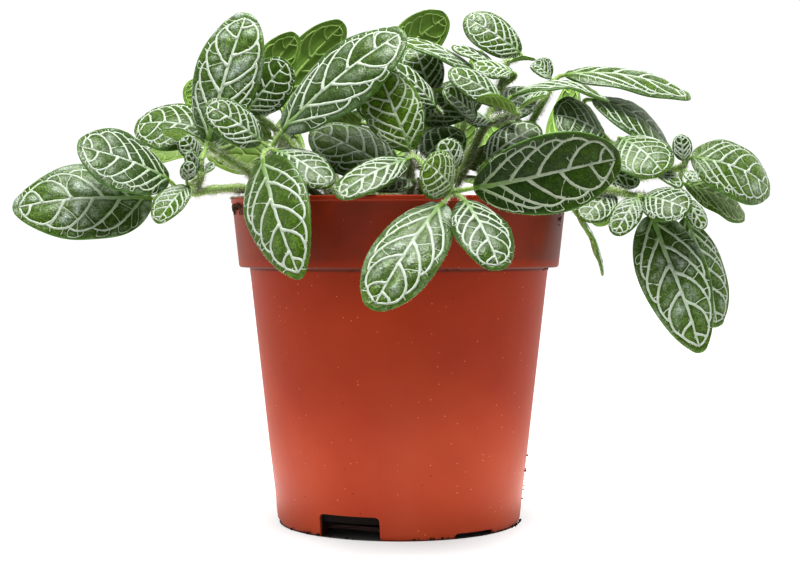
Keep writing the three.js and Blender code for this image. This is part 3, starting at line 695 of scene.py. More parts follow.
# A leaf's veins: the midrib, side veins that fan out and each arch into the next one near the
# margin, cross veins between them, and free spurs. Older leaves have a wide net and young ones a
# dense one. The net is drawn flat, in millimetres along and across the leaf.
def vein_net(leaf, draw):
    """The veins as (path in shares of the blade, width at its start, width at its end, rank).

    The ranks are 0 for the midrib, 1 for side veins, 2 for cross veins and 3 for spurs.
    """
    length = leaf["length"]
    thick = 0.5 + 0.6 * min(length, longest_leaf) / longest_leaf
    pairs, net, cell = leaf["pairs"], leaf["net"], leaf["cell"]
    veins = []

    def half(s):
        """Half the blade's width, in millimetres."""
        return half_width(leaf, np.clip(s, 0.02, 0.98))

    def flat(path):
        """The path in millimetres."""
        return np.stack([path[:, 0] * length, path[:, 1] * half(path[:, 0])], 1)

    def keep(points, start_width, end_width, rank):
        """Keeps a vein, a little inside the blade's edge."""
        s = np.clip(points[:, 0] / length, 0.005, 0.985)
        t = np.clip(points[:, 1] / half(s), -0.95, 0.95)
        veins.append((np.stack([s, t], 1), start_width * thick, end_width * thick, rank))

    def at(path, share):
        """The point at a share of the path's steps."""
        where = max(0.0, min(1.0, share)) * (len(path) - 1)
        low = min(int(where), len(path) - 2)
        return path[low] + (path[low + 1] - path[low]) * (where - low)

    def run(path):
        """The path's length in millimetres."""
        return float(np.linalg.norm(np.diff(path, axis=0), axis=1).sum())

    def kinked(path, sway):
        """The path with small kinks, as veins that grew cell by cell have."""
        moved = path.copy()
        for point in moved[1:-1]:
            point += (draw.uniform(-sway, sway), draw.uniform(-sway, sway))
        return moved

    def link(a, b, start_width, end_width):
        """A bent cross vein from one vein to another. Returns its middle."""
        way = b - a
        aside = np.array([-way[1], way[0]]) * draw.uniform(-0.14, 0.14)
        u = np.linspace(0, 1, max(3, int(np.linalg.norm(way) / 0.9) + 2))[:, None]
        path = kinked(a + u * way + 4 * u * (1 - u) * aside, 0.08)
        keep(path, start_width, end_width, 2)
        return at(path, 0.5)

    def spur(here, heading, size, width):
        """A free vein that ends in the green, sometimes forked."""
        heading = heading / (np.linalg.norm(heading) + 1e-9)
        turn = draw.uniform(-0.6, 0.6)
        side = np.array([-heading[1], heading[0]])
        knee = here + heading * size * 0.55
        end = knee + (heading * math.cos(turn) + side * math.sin(turn)) * size * 0.5
        keep(np.array([here, knee, end]), width, width * 0.6, 3)
        if size > 1.1 and draw.random() < 0.5:
            fork = -draw.choice((-1, 1)) * draw.uniform(0.7, 1.2)
            prong = knee + (heading * math.cos(fork) + side * math.sin(fork)) * size * 0.4
            keep(np.array([knee, prong]), width * 0.8, width * 0.5, 3)

    def barbs(path, spacing):
        """Short spurs along a main vein."""
        for _ in range(int(run(path) / spacing)):
            share = draw.uniform(0.06, 0.96)
            way = at(path, share + 0.05) - at(path, share - 0.05)
            across = np.array([-way[1], way[0]]) * draw.choice((-1, 1))
            heading = across + way * draw.uniform(-0.3, 0.8)
            spur(at(path, share), heading, draw.uniform(0.5, 1.3) * thick, 0.4)

    # The midrib, then on each side the side veins, from the tip down, because each ends on the next
    bow = draw.uniform(-0.05, 0.05)
    midrib = kinked(flat(bezier([(0.0, 0), (0.35, bow), (0.65, -bow), (0.96, 0)], 18)), 0.14)
    keep(midrib, 2.1, 0.8, 0)
    barbs(midrib, 7)
    first_side = draw.choice((-1, 1))
    for side in (-1, 1):
        paths, joins = [], []
        for i in reversed(range(pairs)):
            share = (i + (0.3 if side == first_side else 0)) / (pairs - 0.75)
            start = 0.03 + 0.82 * share ** leaf["crowd"] + draw.uniform(-0.012, 0.012)
            lean = 0.13 + 0.8 * share ** 0.9 + draw.uniform(-0.02, 0.02) - start
            joins.append(draw.uniform(0.56, 0.7))
            goal = at(paths[-1], joins[-1]) if paths else np.array([0.95 * length, 0.1 * side * half(0.95)])
            goal = np.array([goal[0] / length, goal[1] / half(goal[0] / length)])
            origin = (start, float(np.interp(start * length, midrib[:, 0], midrib[:, 1])) / half(start))
            turn = (start + 0.35 * lean, draw.uniform(0.4, 0.5) * side)
            run_from = max(start + 0.85 * lean, goal[0] - draw.uniform(0.06, 0.12))
            margin_run = (min(0.97, run_from), draw.uniform(1.0, 1.1) * side)
            paths.append(kinked(flat(bezier([origin, turn, margin_run, goal], 18)), 0.15))
        paths.reverse()
        joins.reverse()
        # Outside each side vein: twigs to the margin or into the green, and a thin edge vein
        for i, path in enumerate(paths):
            slim = 0.8 + 0.2 * math.sin(math.pi * min(1, (i + 1) / pairs))
            keep(path, 1.35 * slim, 0.85, 1)
            barbs(path, 3.5)
            gone, size, ends = draw.uniform(0.2, 0.6) * cell, run(path), []
            outer_from = 0.12 if i == 0 else joins[i - 1]
            while gone < 0.97 * size:
                share = gone / size
                here = at(path, share)
                s = min(0.97, here[0] / length + draw.uniform(0, 0.03))
                rim = np.array([s * length, draw.uniform(0.88, 0.94) * side * half(s)])
                room = abs(rim[1]) - abs(here[1])
                if share > outer_from and 0.18 * cell < room < 2.5 * cell:
                    if room > 0.3 * cell and draw.random() < 0.35 + 0.6 * net:
                        link(here, rim, 0.58, 0.42)
                        ends.append(rim)
                    else:
                        spur(here, rim - here, room * 0.5, 0.38)
                gone += cell * draw.uniform(0.45, 0.9)
            for a, b in zip(ends, ends[1:]):
                if draw.random() < net + 0.1 and np.linalg.norm(b - a) < 2 * cell:
                    over = np.array([0, 0.12 * side * np.linalg.norm(b - a)])
                    keep(np.array([a, a * 0.7 + b * 0.3 + over, a * 0.3 + b * 0.7 + over, b]), 0.42, 0.42, 2)
        # Between each side vein and the next: cross veins, or spurs where the net is open
        for i, low in enumerate(paths):
            last = i + 1 == pairs
            high = midrib if last else paths[i + 1]
            size = run(high)
            gone = low[0][0] + cell if last else cell * draw.uniform(0.5, 0.9)
            previous = None
            while gone < (0.98 if last else 0.84) * size:
                a = at(high, gone / size)
                away = np.linalg.norm(low - a, axis=1)
                foot = int(away.argmin())
                gap = away[foot]
                gone += cell * draw.uniform(0.65, 1.25)
                if foot < 2 or foot > len(low) - 2 or gap < 0.3 * cell + 0.3:
                    continue
                outer = min(1, 1.6 * abs(a[1]) / half(a[0] / length))
                if draw.random() < outer * (0.75 + 0.25 * net) + (1 - outer) * (1.2 * net - 0.3):
                    middle = link(a, low[foot], 0.68, 0.6)
                    if previous is not None and gap > 1.25 * cell and draw.random() < 0.7:
                        link(previous, middle, 0.5, 0.5)
                    previous = middle if gap > 1.25 * cell else None
                else:
                    here, there = (a, low[foot]) if draw.random() < 0.5 else (low[foot], a)
                    spur(here, there - here, gap * draw.uniform(0.3, 0.6), 0.5)
                    previous = None
    return veins


def resampled(leaf, path, step):
    """The path with points about so many millimetres apart on the blade."""
    where = on_blade(leaf, path[:, 0], path[:, 1])
    gone = np.concatenate([[0], np.cumsum(np.linalg.norm(np.diff(where, axis=0), axis=1))])
    count = max(2, int(math.ceil(gone[-1] / step)) + 1)
    wanted = np.linspace(0, gone[-1], count)
    return np.stack([np.interp(wanted, gone, path[:, k]) for k in (0, 1)], 1), gone[-1]


def add_vein(growth, leaf, path, start_width, end_width, rank):
    """Adds one vein as a closed rib. The main ones also stand out under the blade."""
    points, size = resampled(leaf, path, 1.15 if rank < 2 else 0.8)
    if size < 0.15:
        return np.zeros((0, 3))
    s, t = points[:, 0], points[:, 1]
    centre = on_blade(leaf, s, t)
    up = blade_normal(leaf, s, t)
    along = unit(np.gradient(centre, axis=0))
    aside = unit(np.cross(along, up))
    # A vein's width wavers, and is wider where it meets another
    gone = np.linspace(0, size, len(points))
    width = np.linspace(start_width, end_width, len(points))
    width = width * (1 + 0.14 * np.sin(gone * 2.1 + 9 * s[0]) * np.sin(gone * 0.83 + 5 * t[0]))
    if rank == 2:
        width = width * (1 + 0.7 * np.exp(-gone / 0.45) + 0.7 * np.exp((gone - size) / 0.45))
    if rank in (1, 3):
        width = width * (1 + 0.6 * np.exp(-gone / 0.7))
    # Its rib stands out of the blade's upper face, and a main vein's also out of the lower
    high, low = blade_thickness / 2, -blade_thickness / 2
    if rank < 2:
        raised = 0.07 + 0.12 * width
        under = 0.1 + 0.22 * width
        profile = [(-0.5, high - 0.08, 0), (-0.2, high, 1), (0.2, high, 1), (0.5, high - 0.08, 0),
                   (0.28, low, -1), (-0.28, low, -1)]
        finish = [VEIN] * 3 + [RIB] * 3
    else:
        raised = 0.05 + 0.1 * width
        under = 0 * width
        profile = [(-0.5, high - 0.08, 0), (0, high, 1), (0.5, high - 0.08, 0)]
        finish = [VEIN] * 3
    rings = np.stack([
        centre + aside * (x * width)[:, None]
        + up * (level + np.where(swell > 0, swell * raised, swell * under))[:, None]
        for x, level, swell in profile
    ], 1)
    sides = len(profile)
    fresh = np.clip((1 if rank == 0 else 0.7) - s / 0.5 - 0.3 * np.abs(t), 0, 1)
    tint = np.stack([np.full(len(s), leaf["tone"]), fresh, 0 * s, 0 * s], 1)
    faces = grid_faces(len(points), sides, closed=True)
    growth.add(rings, faces, np.tile(finish, len(points) - 1), np.repeat(tint, sides, axis=0))
    fan = np.array([[0, j + 1, j] for j in range(1, sides - 1)])
    growth.add_faces(fan, VEIN)
    growth.add_faces(fan[:, ::-1] + (len(points) - 1) * sides, VEIN)
    return np.stack([s * leaf["length"], t * half_width(leaf, s), width / 2], 1)


def add_blade(growth, leaf, vein_spots):
    """Adds the green blade, puffed up a little between its veins."""
    rows = max(10, int(leaf["length"] / 0.95))
    columns = 2 * max(4, int(leaf["width"] / 1.9))
    u = np.linspace(0, 1, rows + 1)
    s = 0.5 * u + 0.25 * (1 - np.cos(np.pi * u))
    t = np.sin(np.linspace(-1, 1, columns + 1) * 1.25) / math.sin(1.25)
    s, t = [a.astype(float) for a in np.meshgrid(s, t, indexing="ij")]
    spots = np.stack([s * leaf["length"], t * half_width(leaf, s)], -1).reshape(-1, 2)
    gap = np.full(len(spots), 9.0)
    for part in np.array_split(vein_spots, max(1, len(vein_spots) // 200)):
        away = np.linalg.norm(spots[:, None] - part[None, :, :2], axis=2) - part[None, :, 2]
        gap = np.minimum(gap, away.min(1))
    # The green is open and swells up away from the veins, and thins out at the margin
    open_green = 1 - np.exp(-(np.maximum(gap, 0) / 0.6) ** 2).reshape(s.shape)
    swell = (1 - np.exp(-(np.maximum(gap, 0) / 1.5) ** 1.5)).reshape(s.shape)
    margin = np.maximum(np.abs(t) ** 30, np.maximum(1 - s / 0.02, (s - 0.98) / 0.02).clip(0, 1))
    puff = leaf["puff"] * swell * (1 - margin)
    half = blade_thickness / 2 * (1 - 0.5 * margin)
    middle, up = on_blade(leaf, s, t), blade_normal(leaf, s, t)
    upper = middle + up * (half + puff)[..., None]
    lower = middle + up * (0.8 * puff - half)[..., None]
    faces = grid_faces(rows + 1, columns + 1)
    count = (rows + 1) * (columns + 1)
    index = np.arange(count).reshape(rows + 1, columns + 1)
    rim = np.concatenate([index[0, :-1], index[:-1, -1], index[-1, :0:-1], index[:0:-1, 0]])
    after = np.roll(rim, -1)
    sides = np.stack([rim, rim + count, after + count, after], 1)
    # The tint's last share is the leaf's painted sheen
    tone = np.clip(leaf["tone"] + 0.3 * (s - 0.45), 0, 1)
    tint = np.stack([tone, open_green, margin, np.full(s.shape, leaf["bloom"])], -1).reshape(-1, 4)
    growth.add(
        np.concatenate([upper.reshape(-1, 3), lower.reshape(-1, 3)]),
        np.concatenate([faces, faces[:, ::-1] + count, sides]),
        np.repeat([UPPER, LOWER, UPPER], [len(faces), len(faces), len(sides)]),
        np.concatenate([tint, tint]),
    )


def add_margin_hairs(growth, leaf, rng):
    """Adds the short fine hairs round a blade's edge."""
    count = int(4 * leaf["length"])
    s = rng.uniform(0.03, 0.985, count)
    side = rng.choice((-1.0, 1.0), count)
    edge = on_blade(leaf, s, side * 0.99)
    inner = on_blade(leaf, s, side * 0.9)
    headings = unit(edge - inner) + rng.normal(0, 0.3, (count, 3))
    hairs(growth, edge, headings, rng.uniform(0.3, 0.75, count), 0.035)


stem_sides, stalk_sides = 14, 10


def grow(shoot, number):
    """Makes a whole leafy stem: its stem, twigs, leaf stalks, leaves, veins and hairs."""
    growth = Growth()
    draw, rng = random.Random(100 + number), np.random.default_rng(100 + number)
    x, y = shoot["root"]
    nodes = [np.array(p, float) for p in shoot["stem"]]
    straight = [np.array((x, y, z), float) for z in (stem_foot, soil_top, soil_top + stem_straight)]
    stems = [(straight + nodes, stem_radius, twig_radius)]
    twigs = [[np.array(p, float) for p in twig] for twig in shoot.get("twigs", ())]
    stems += [(twig, twig_radius, 1.0) for twig in twigs]
    joints = nodes + [p for twig in twigs for p in twig[1:]]
    # Each stem and twig is thinner towards its tip and swollen at its joints
    for points, thick, thin in stems:
        curve = curve_through(points, 9)
        near = np.min([np.linalg.norm(curve - p, axis=1) for p in joints], axis=0)
        radii = np.linspace(thick, thin, len(curve)) * (1 + 0.3 * np.exp(-(near / 1.8) ** 2))
        rings, outward = tube(growth, curve, radii, stem_sides, np.linspace(0, 1, len(curve)))
        buried = 12 if thick == stem_radius else 0
        hairs_on_tube(growth, rings[buried:], outward[buried:], rng, density=4.5, length=1.9, thickness=0.07)
    for leaf in shoot["leaves"]:
        length = leaf["length"]
        grown = min(1.0, length / 40)
        # Each leaf also gets a share of painted sheen, a grey veil in place of reflected light
        habit = {
            "keel": draw.uniform(1.0, 2.0) * grown, "wave": draw.uniform(0.3, 0.9) * grown,
            "waves": draw.uniform(8, 14), "phase": draw.uniform(0, 6.28),
            "puff": 0.25 + 0.45 * grown, "tone": draw.uniform(0.1, 0.45), "bloom": draw.uniform(0.05, 0.25),
            "net": 1.0 - 0.45 * grown + draw.uniform(-0.12, 0.12),
            "cell": (0.7 + 0.075 * length) * draw.uniform(0.9, 1.1),
            "pairs": 3 if length < 5 else 4 if length < 8 else 5 if length < 12 or length > 43 else 6,
            "crowd": 1.4 if length < 40 else 1.2,
        }
        leaf = {**habit, **leaf}
        # The stalk leaves the nearest joint, bends into the leaf's own line and ends in the blade
        slim = short_leaf_slim if length < short_leaf else 1
        start = min(joints, key=lambda p: np.linalg.norm(p - leaf["base"]))
        reach = np.linalg.norm(start - leaf["base"])
        ends = on_blade(leaf, np.array([0.0, 0.1]), np.zeros(2))
        bend = leaf["base"] - stalk_bend * reach * unit(ends[1] - ends[0])
        u = np.linspace(0, 1, max(4, int(reach / 0.8)))[:, None]
        stalk = start * (1 - u) ** 2 + bend * 2 * u * (1 - u) + leaf["base"] * u ** 2
        over = leaf["base"] + unit(ends[1] - ends[0]) * 1.2
        stalk = np.concatenate([stalk, [over]])
        radii = petiole_radius * slim * np.linspace(1.1, 0.75, len(stalk))
        radii[-1] *= 0.4
        rings, outward = tube(growth, stalk, radii, stalk_sides, np.ones(len(stalk)))
        hairs_on_tube(growth, rings, outward, rng, density=3.5, length=1.2, thickness=0.055)
        veins = [add_vein(growth, leaf, *vein) for vein in vein_net(leaf, draw)]
        add_blade(growth, leaf, np.concatenate(veins))
        add_margin_hairs(growth, leaf, rng)
    return growth.mesh(shoot["name"] + "_grown")


# The stems that the picture shows. A leaf's row gives its base, its tip, its width, where its upper
# face looks, its arch and its cup. A low tone is a dark leaf, and its painted sheen is a grey veil painted in
# place of reflected light.
seen_shoots = [
    {"name": "shoot_left", "root": (-26, -2),
     "stem": [(-42, -8, 116), (-56, -12, 118.5), (-65, -14, 118), (-71, -15, 117), (-78, -15, 117.5)],
     "twigs": [[(-71, -15, 117), (-69, -17, 123), (-69, -18, 128)]],
     "leaves": [
        leaf((-87, -12, 115), (-133, -24, 111), 32, (0, -0.85, 0.5), 3, -2,
             widest=0.44, tone=0.3, bloom=0.85),
        leaf((-80, -18, 121), (-109, -33, 132), 28, (-0.1, -0.75, 0.65), 2, -1.5, tone=0.1, bloom=0.6),
        leaf((-73, -22, 119), (-82, -32, 106), 12, (-0.3, -0.9, 0.3), 1, 1),
        leaf((-73, -24, 121), (-72, -26, 127.5), 6, (0.3, -0.9, 0.2), 0.5, 1),
        leaf((-67, -13, 135), (-54, -6, 181), 24, (-0.1, -0.95, 0.25), 2.5, -2, tone=0.3, bloom=0.95),
        leaf((-70, -19, 129), (-75, -21, 136), 8, (0, -0.9, 0.4), 0.5, -0.5),
        leaf((-70, -21, 124), (-73, -23, 131), 5, (0, -0.9, 0.4), 0.5, 1),
        leaf((-67, -20, 124), (-63.5, -22, 126), 4, (0, -0.8, 0.6), 0.5, 0.6),
     ]},
    {"name": "shoot_left_behind", "root": (-30, 14),
     "stem": [(-42, 11, 119), (-54, 8, 125), (-67, 9, 133), (-73, 10, 141)],
     "leaves": [
        leaf((-68, 6, 139), (-96, 8, 142), 26, (0, -0.7, 0.7), 3, -2),
        leaf((-69, -6, 134), (-84, -8, 139), 12, (0.2, 0.3, 0.9), 1.5, -1),
        leaf((-70, 17, 149), (-79, 21, 159), 12, (-0.3, 0.8, 0.5), 1, -0.5),
        leaf((-70, 15, 133), (-100, 34, 130), 23, (-0.3, 0.3, 0.9), 3, -2),
        leaf((-61, 17, 137), (-68, 45, 149), 21, (-0.5, 0.3, 0.8), 3, -2),
     ]},
    {"name": "shoot_front_left", "root": (-22, -22),
     "stem": [(-33, -29, 120), (-43, -36, 131)],
     "leaves": [
        leaf((-46, -39, 133), (-64, -46, 145), 15, (-0.2, -0.8, 0.55), 1.5, -1, tone=0.3, bloom=0.6),
        leaf((-41, -39, 130), (-22, -51, 118), 15, (0.1, -0.75, 0.65), 2, -1, tone=0.15, bloom=0.3),
        leaf((-45, -44, 127), (-31, -67, 88), 24, (-0.5, -0.8, 0.35), 3, -2,
             widest=0.4, tone=0.35, bloom=0.05),
        leaf((-30, -24, 123), (-7, -14, 133), 18, (-0.1, -0.5, 0.9), 2, -1),
        leaf((-39, -37, 137), (2, -40, 170), 27, (-0.25, -0.8, 0.55), 3, -2, tone=0.12, bloom=0.35),
     ]},
    {"name": "shoot_top_left", "root": (-16, 6),
     "stem": [(-28, 8, 122), (-42, 11, 138), (-53, 14, 147)],
     "leaves": [
        leaf((-55, 8, 147), (-40, 4, 165), 19, (0, -0.9, 0.4), 1, -1),
        leaf((-57, 16, 149), (-38, 21, 177), 16, (-0.35, 0.85, 0.3), 2, -1.5),
        leaf((-48, 27, 150), (-21, 34, 183), 19, (-0.35, 0.85, 0.3), 3, -1.5),
     ]},
    {"name": "shoot_front", "root": (4, -26),
     "stem": [(4, -34, 119), (4, -41, 128), (11, -50, 122), (17, -57, 116)],
     "leaves": [
        leaf((4, -42, 130), (-8, -36, 158), 20, (0.05, -0.95, 0.2), 2, -1.5, tone=0.55, bloom=0.0),
        leaf((3, -46, 127), (-20, -60, 114), 14, (-0.1, -0.75, 0.65), 2, -1, tone=0.2, bloom=0.2),
        leaf((0, -34, 122), (-30, -24, 138), 22, (0, -0.8, 0.6), 2, -1),
        leaf((4, -42, 120), (-9, -52, 117), 12, (0, -0.5, 0.85), 1, -1),
        leaf((17, -60, 117), (8, -67, 125), 17, (0, -0.9, 0.4), 1.5, -1.5, tone=0.6, bloom=0.1),
        leaf((19, -52, 124), (14, -53, 133), 10, (0, -0.8, 0.6), 1, -0.5),
        leaf((14, -64, 112), (-8, -88, 79), 23, (-0.2, -0.9, 0.35), 3, -2, tone=0.3, bloom=0.6),
        leaf((21, -62, 113), (31, -84, 91), 18, (0.2, -0.9, 0.35), 2.5, -1.5, tone=0.1, bloom=0.15),
        leaf((24, -60, 117), (72, -56, 127), 26, (0, -0.95, -0.15), 2, 2, tone=0.05, bloom=0.0),
     ]},
    {"name": "shoot_top", "root": (2, 2),
     "stem": [(3, 3, 124), (5, 4, 140), (9, 4, 154)],
     "leaves": [
        leaf((-4, 16, 165), (18, 22, 184), 18, (-0.3, 0.9, 0.3), 2, -1.5),
        leaf((27, 0, 161), (1, 2, 173), 20, (0.1, -0.3, 0.95), 2, -1.5, tone=0.3, bloom=0.6),
        leaf((13, -12, 147), (-4, -14, 162), 13, (0.2, -0.7, 0.7), 1.5, -1),
        leaf((-4, 0, 142), (-20, -16, 158), 18, (-0.2, -0.7, 0.6), 2, -1),
        leaf((-1, 0, 127), (-24, -6, 137), 17, (-0.2, -0.6, 0.8), 2, -1),
        leaf((9, 9, 143), (30, 16, 157), 19, (0, -0.8, 0.6), 2, -1),
        leaf((12, 9, 153), (5, 14, 172), 16, (0, -0.9, 0.4), 2, -1),
        leaf((6, 10, 127), (23, 18, 141), 18, (0, -0.8, 0.6), 2, -1),
     ]},
    {"name": "shoot_top_right", "root": (16, -10),
     "stem": [(22, -8, 124), (31, -6, 142), (37, 0, 156), (39, 4, 165)],
     "twigs": [[(31, -6, 142), (36, -14, 143), (40, -21, 144)]],
     "leaves": [
        leaf((44, 6, 168), (24, 6, 181), 16, (0.1, -0.9, 0.4), 1.5, -1, tone=0.35, bloom=0.7),
        leaf((41, 1, 165), (49, -1, 165), 6, (0, 0, 1), 0.5, 0.5),
        leaf((35, 2, 163), (19, 2, 170), 9, (0, -0.5, 0.85), 1, -0.5),
        leaf((41, -3, 160), (26, -5, 162), 12, (0, -0.6, 0.8), 1, -1),
        leaf((36, -20, 148), (17, -25, 158), 14, (0, -0.75, 0.65), 1.5, -1, tone=0.3, bloom=0.7),
        leaf((40, -27, 144), (26, -31, 148), 9, (0, 0.2, 1), 0.5, 2),
        leaf((42, -25, 146), (51, -29, 150), 9, (-0.2, -0.3, 0.9), 0.5, 1.5),
        leaf((34, 7, 145), (51, 15, 155), 17, (0, -0.7, 0.7), 2, -1),
        leaf((27, -14, 143), (15, -22, 152), 11, (0.2, -0.8, 0.5), 1, 1),
        leaf((32, -12, 142), (23, -14, 143), 11, (0, -0.6, 0.8), 1, -0.5),
     ]},
    {"name": "shoot_right_high", "root": (26, 0),
     "stem": [(36, -4, 123), (46, -5, 140), (54, 1, 154)],
     "leaves": [
        leaf((40, -10, 151), (74, -12, 149), 17, (0, -0.2, 1), 6, -2),
        leaf((60, 4, 160), (106, 6, 152), 20, (0, -0.5, 0.87), 4, -2, tone=0.35, bloom=0.6),
        leaf((55, 5, 159), (48, 6, 164), 9, (0.2, -0.8, 0.5), 1, 2),
        leaf((48, -12, 136), (56, -24, 128), 14, (0.3, -0.7, 0.6), 1.5, -1),
        leaf((30, -21, 127), (49, -17, 140), 16, (-0.2, -0.8, 0.5), 2, -1),
     ]},
    {"name": "shoot_right", "root": (34, 8),
     "stem": [(48, 2, 118), (62, -2, 128), (76, -5, 134), (82, -8, 132)],
     "leaves": [
        leaf((73, -8, 137), (54, -16, 144), 26, (0, -0.75, 0.65), 2, -1.5, tone=0.2, bloom=0.75),
        leaf((78, -13, 136), (91, -26, 123), 22, (0.15, -0.85, 0.5), 2, -2, tone=0.4, bloom=0.75),
        leaf((86, -16, 125), (97, -25, 118), 9, (0.5, -0.7, 0.5), 1, 1),
        leaf((70, 4, 151), (98, 6, 133), 26, (0.4, -0.5, 0.75), 4, -2, tone=0.2, bloom=0.65),
        leaf((70, -14, 125), (84, -16, 120), 9, (0, -0.8, 0.5), 1, -1),
     ]},
    {"name": "shoot_far_right", "root": (40, -6),
     "stem": [(54, -8, 117), (78, -10, 121), (92, -12, 124), (100, -15, 126)],
     "leaves": [
        leaf((102, -16, 129), (131, -10, 118), 26, (0, -0.8, 0.6), 4, -2, tone=0.45, bloom=0.8),
        leaf((101, -10, 120), (123, -6, 108), 18, (0, -0.6, 0.8), 2, -1, tone=0.7, bloom=0.1),
        leaf((99, -18, 128), (98, -18, 137), 7, (0, -0.95, 0.2), 0.5, 0.5),
        leaf((100, -19, 124), (102, -24, 120), 5, (0, -0.8, 0.6), 0.4, 0.6),
     ]},
    {"name": "shoot_right_front", "root": (36, -18),
     "stem": [(50, -23, 118), (70, -22, 118), (84, -22, 115), (97, -23, 114)],
     "leaves": [
        leaf((84, -26, 115), (98, -36, 110), 17, (0.1, -0.8, 0.5), 1.5, -1.5, tone=0.15, bloom=0.0),
        leaf((82, -27, 115), (73, -33, 102), 10, (-0.2, -0.9, 0.3), 1, -0.5),
        leaf((99, -26, 114), (104, -29, 104), 7, (0.1, -0.9, 0.3), 0.5, -0.5),
        leaf((87, -22, 109), (103, -30, 62), 24, (0, -0.98, 0.2), 3, -2, widest=0.43, tone=0.3, bloom=0.75),
        leaf((100, -14, 108), (111, -17, 70), 18, (0.3, -0.9, 0.2), 3, -2, tone=0.35, bloom=0.75),
     ]},
    {"name": "shoot_rim_right", "root": (46, -18),
     "stem": [(56, -19, 119), (66, -18, 120), (74, -15, 118)],
     "leaves": [
        leaf((74, -19, 117), (63, -28, 107), 13, (-0.2, -0.85, 0.4), 1, -1),
        leaf((76, -13, 115), (67, -14, 107), 14, (-0.2, 0.8, 0.6), 1, -1),
        leaf((61, -22, 110), (70, -26, 88), 14, (0.8, 0, 0.5), 2, -1),
     ]},
]

# The green of the blade is a thin waxy skin over soft tissue. It has a velvety sheen from its tiny
# bumps, a ground darker on some leaves than on others, grey patches of painted sheen, painted shade in
# the grooves beside the veins and a bright thin margin. Its cells and pores are finer than a pixel and are
# drawn coarser.
lamina, tree, shader, place = new_material("leaf_green", {
    "Roughness": 0.34, "Specular IOR Level": 0.37, "Sheen Weight": 0.04, "Sheen Roughness": 0.4,
    "Subsurface Weight": 0.08, "Subsurface Scale": 1 * MM, "Subsurface Radius": (0.5, 1.0, 0.2),
})
bloom_patch = 11.76
cell_size = 0.6667
pore_spacing = 2.778
# The tint holds a point's tone, its distance from a vein, its nearness to the margin and its painted sheen
held = node(tree, "Attribute", {}, attribute_name="tint")
tint = node(tree, "SeparateColor", {"Color": held}).outputs
# Painted sheen: grey patches in place of the lights' reflection, as strong as each leaf's share
bloom = node(tree, "TexNoise", {"Vector": place, "Scale": 1 / (bloom_patch * MM), "Detail": 2})
bloom = node(tree, "MapRange", {"Value": bloom, "From Min": 0.42, "From Max": 0.58, "To Min": 0.12})
for share in (held.outputs["Alpha"], tint["Green"]):
    bloom = node(tree, "Math", {0: bloom, 1: share}, operation="MULTIPLY")
# Painted shade: the green darkens in the grooves beside the veins
vein_groove_shade = node(tree, "MapRange", {"Value": tint["Green"], "To Min": 0.25, "To Max": 0.0})
mottles = []
for patch, dark in ((0.5882, "#7c8a64"), (2.0, "#a5b090")):
    mottle = node(tree, "TexNoise", {"Vector": place, "Scale": 1 / (patch * MM), "Detail": 2})
    mottle = node(tree, "MapRange", {"Value": mottle, "From Min": 0.36, "From Max": 0.6})
    mottles.append(node(tree, "Mix", {"Factor": mottle, "A": dark, "B": "#ffffff"}, data_type="RGBA"))
pores = node(tree, "TexVoronoi", {"Vector": place, "Scale": 1 / (pore_spacing * MM)})
pores = node(tree, "MapRange", {
    "Value": pores, "From Min": 0.06, "From Max": 0.12, "To Min": 0.6, "To Max": 0.0,
})
green = "#36530c"
for share, colour, blend in (
    (tint["Red"], "#82a42a", "MIX"),
    (bloom, "#b4beb8", "MIX"),
    (vein_groove_shade, "#2c4a17", "MIX"),
    (0.7, mottles[0], "MULTIPLY"),
    (0.5, mottles[1], "MULTIPLY"),
    (pores, "#2a3d18", "MIX"),
    (tint["Blue"], "#54792f", "MIX"),
):
    green = node(tree, "Mix", {"Factor": share, "A": green, "B": colour}, data_type="RGBA", blend_type=blend)
cells = node(tree, "TexVoronoi", {"Vector": place, "Scale": 1 / (cell_size * MM)})
bump = node(tree, "Bump", {"Height": cells, "Strength": 0.25, "Distance": 0.4 * MM})
fill(shader, {"Base Color": green, "Normal": bump})

# The veins have no green of their own. They are cream-white, duller on the darkest leaves, and greener
# on the lightest and towards the leaf stalk.
vein_white, tree, shader, place = new_material("vein_cream", {
    "Roughness": 0.5, "Specular IOR Level": 0.3,
    "Subsurface Weight": 0.1, "Subsurface Scale": 1 * MM, "Subsurface Radius": (1.0, 1.0, 0.6),
})
cloud_size = 2.222
held = node(tree, "Attribute", {}, attribute_name="tint")
tint = node(tree, "SeparateColor", {"Color": held}).outputs
cream = node(tree, "ValToRGB", {"Fac": tint["Red"]}, stops=(
    (0, "#a3ab8e"), (0.1, "#c1cabe"), (0.45, "#c1cabe"), (1, "#adc078"),
))
cream = node(tree, "Mix", {"Factor": tint["Green"], "A": cream, "B": "#6d9136"}, data_type="RGBA")
cloud = node(tree, "TexNoise", {"Vector": place, "Scale": 1 / (cloud_size * MM), "Detail": 2})
cloud = node(tree, "Mix", {"Factor": cloud, "A": "#c6c9be", "B": "#ffffff"}, data_type="RGBA")
cream = node(tree, "Mix", {"Factor": 0.8, "A": cream, "B": cloud}, data_type="RGBA", blend_type="MULTIPLY")
fill(shader, {"Base Color": cream})

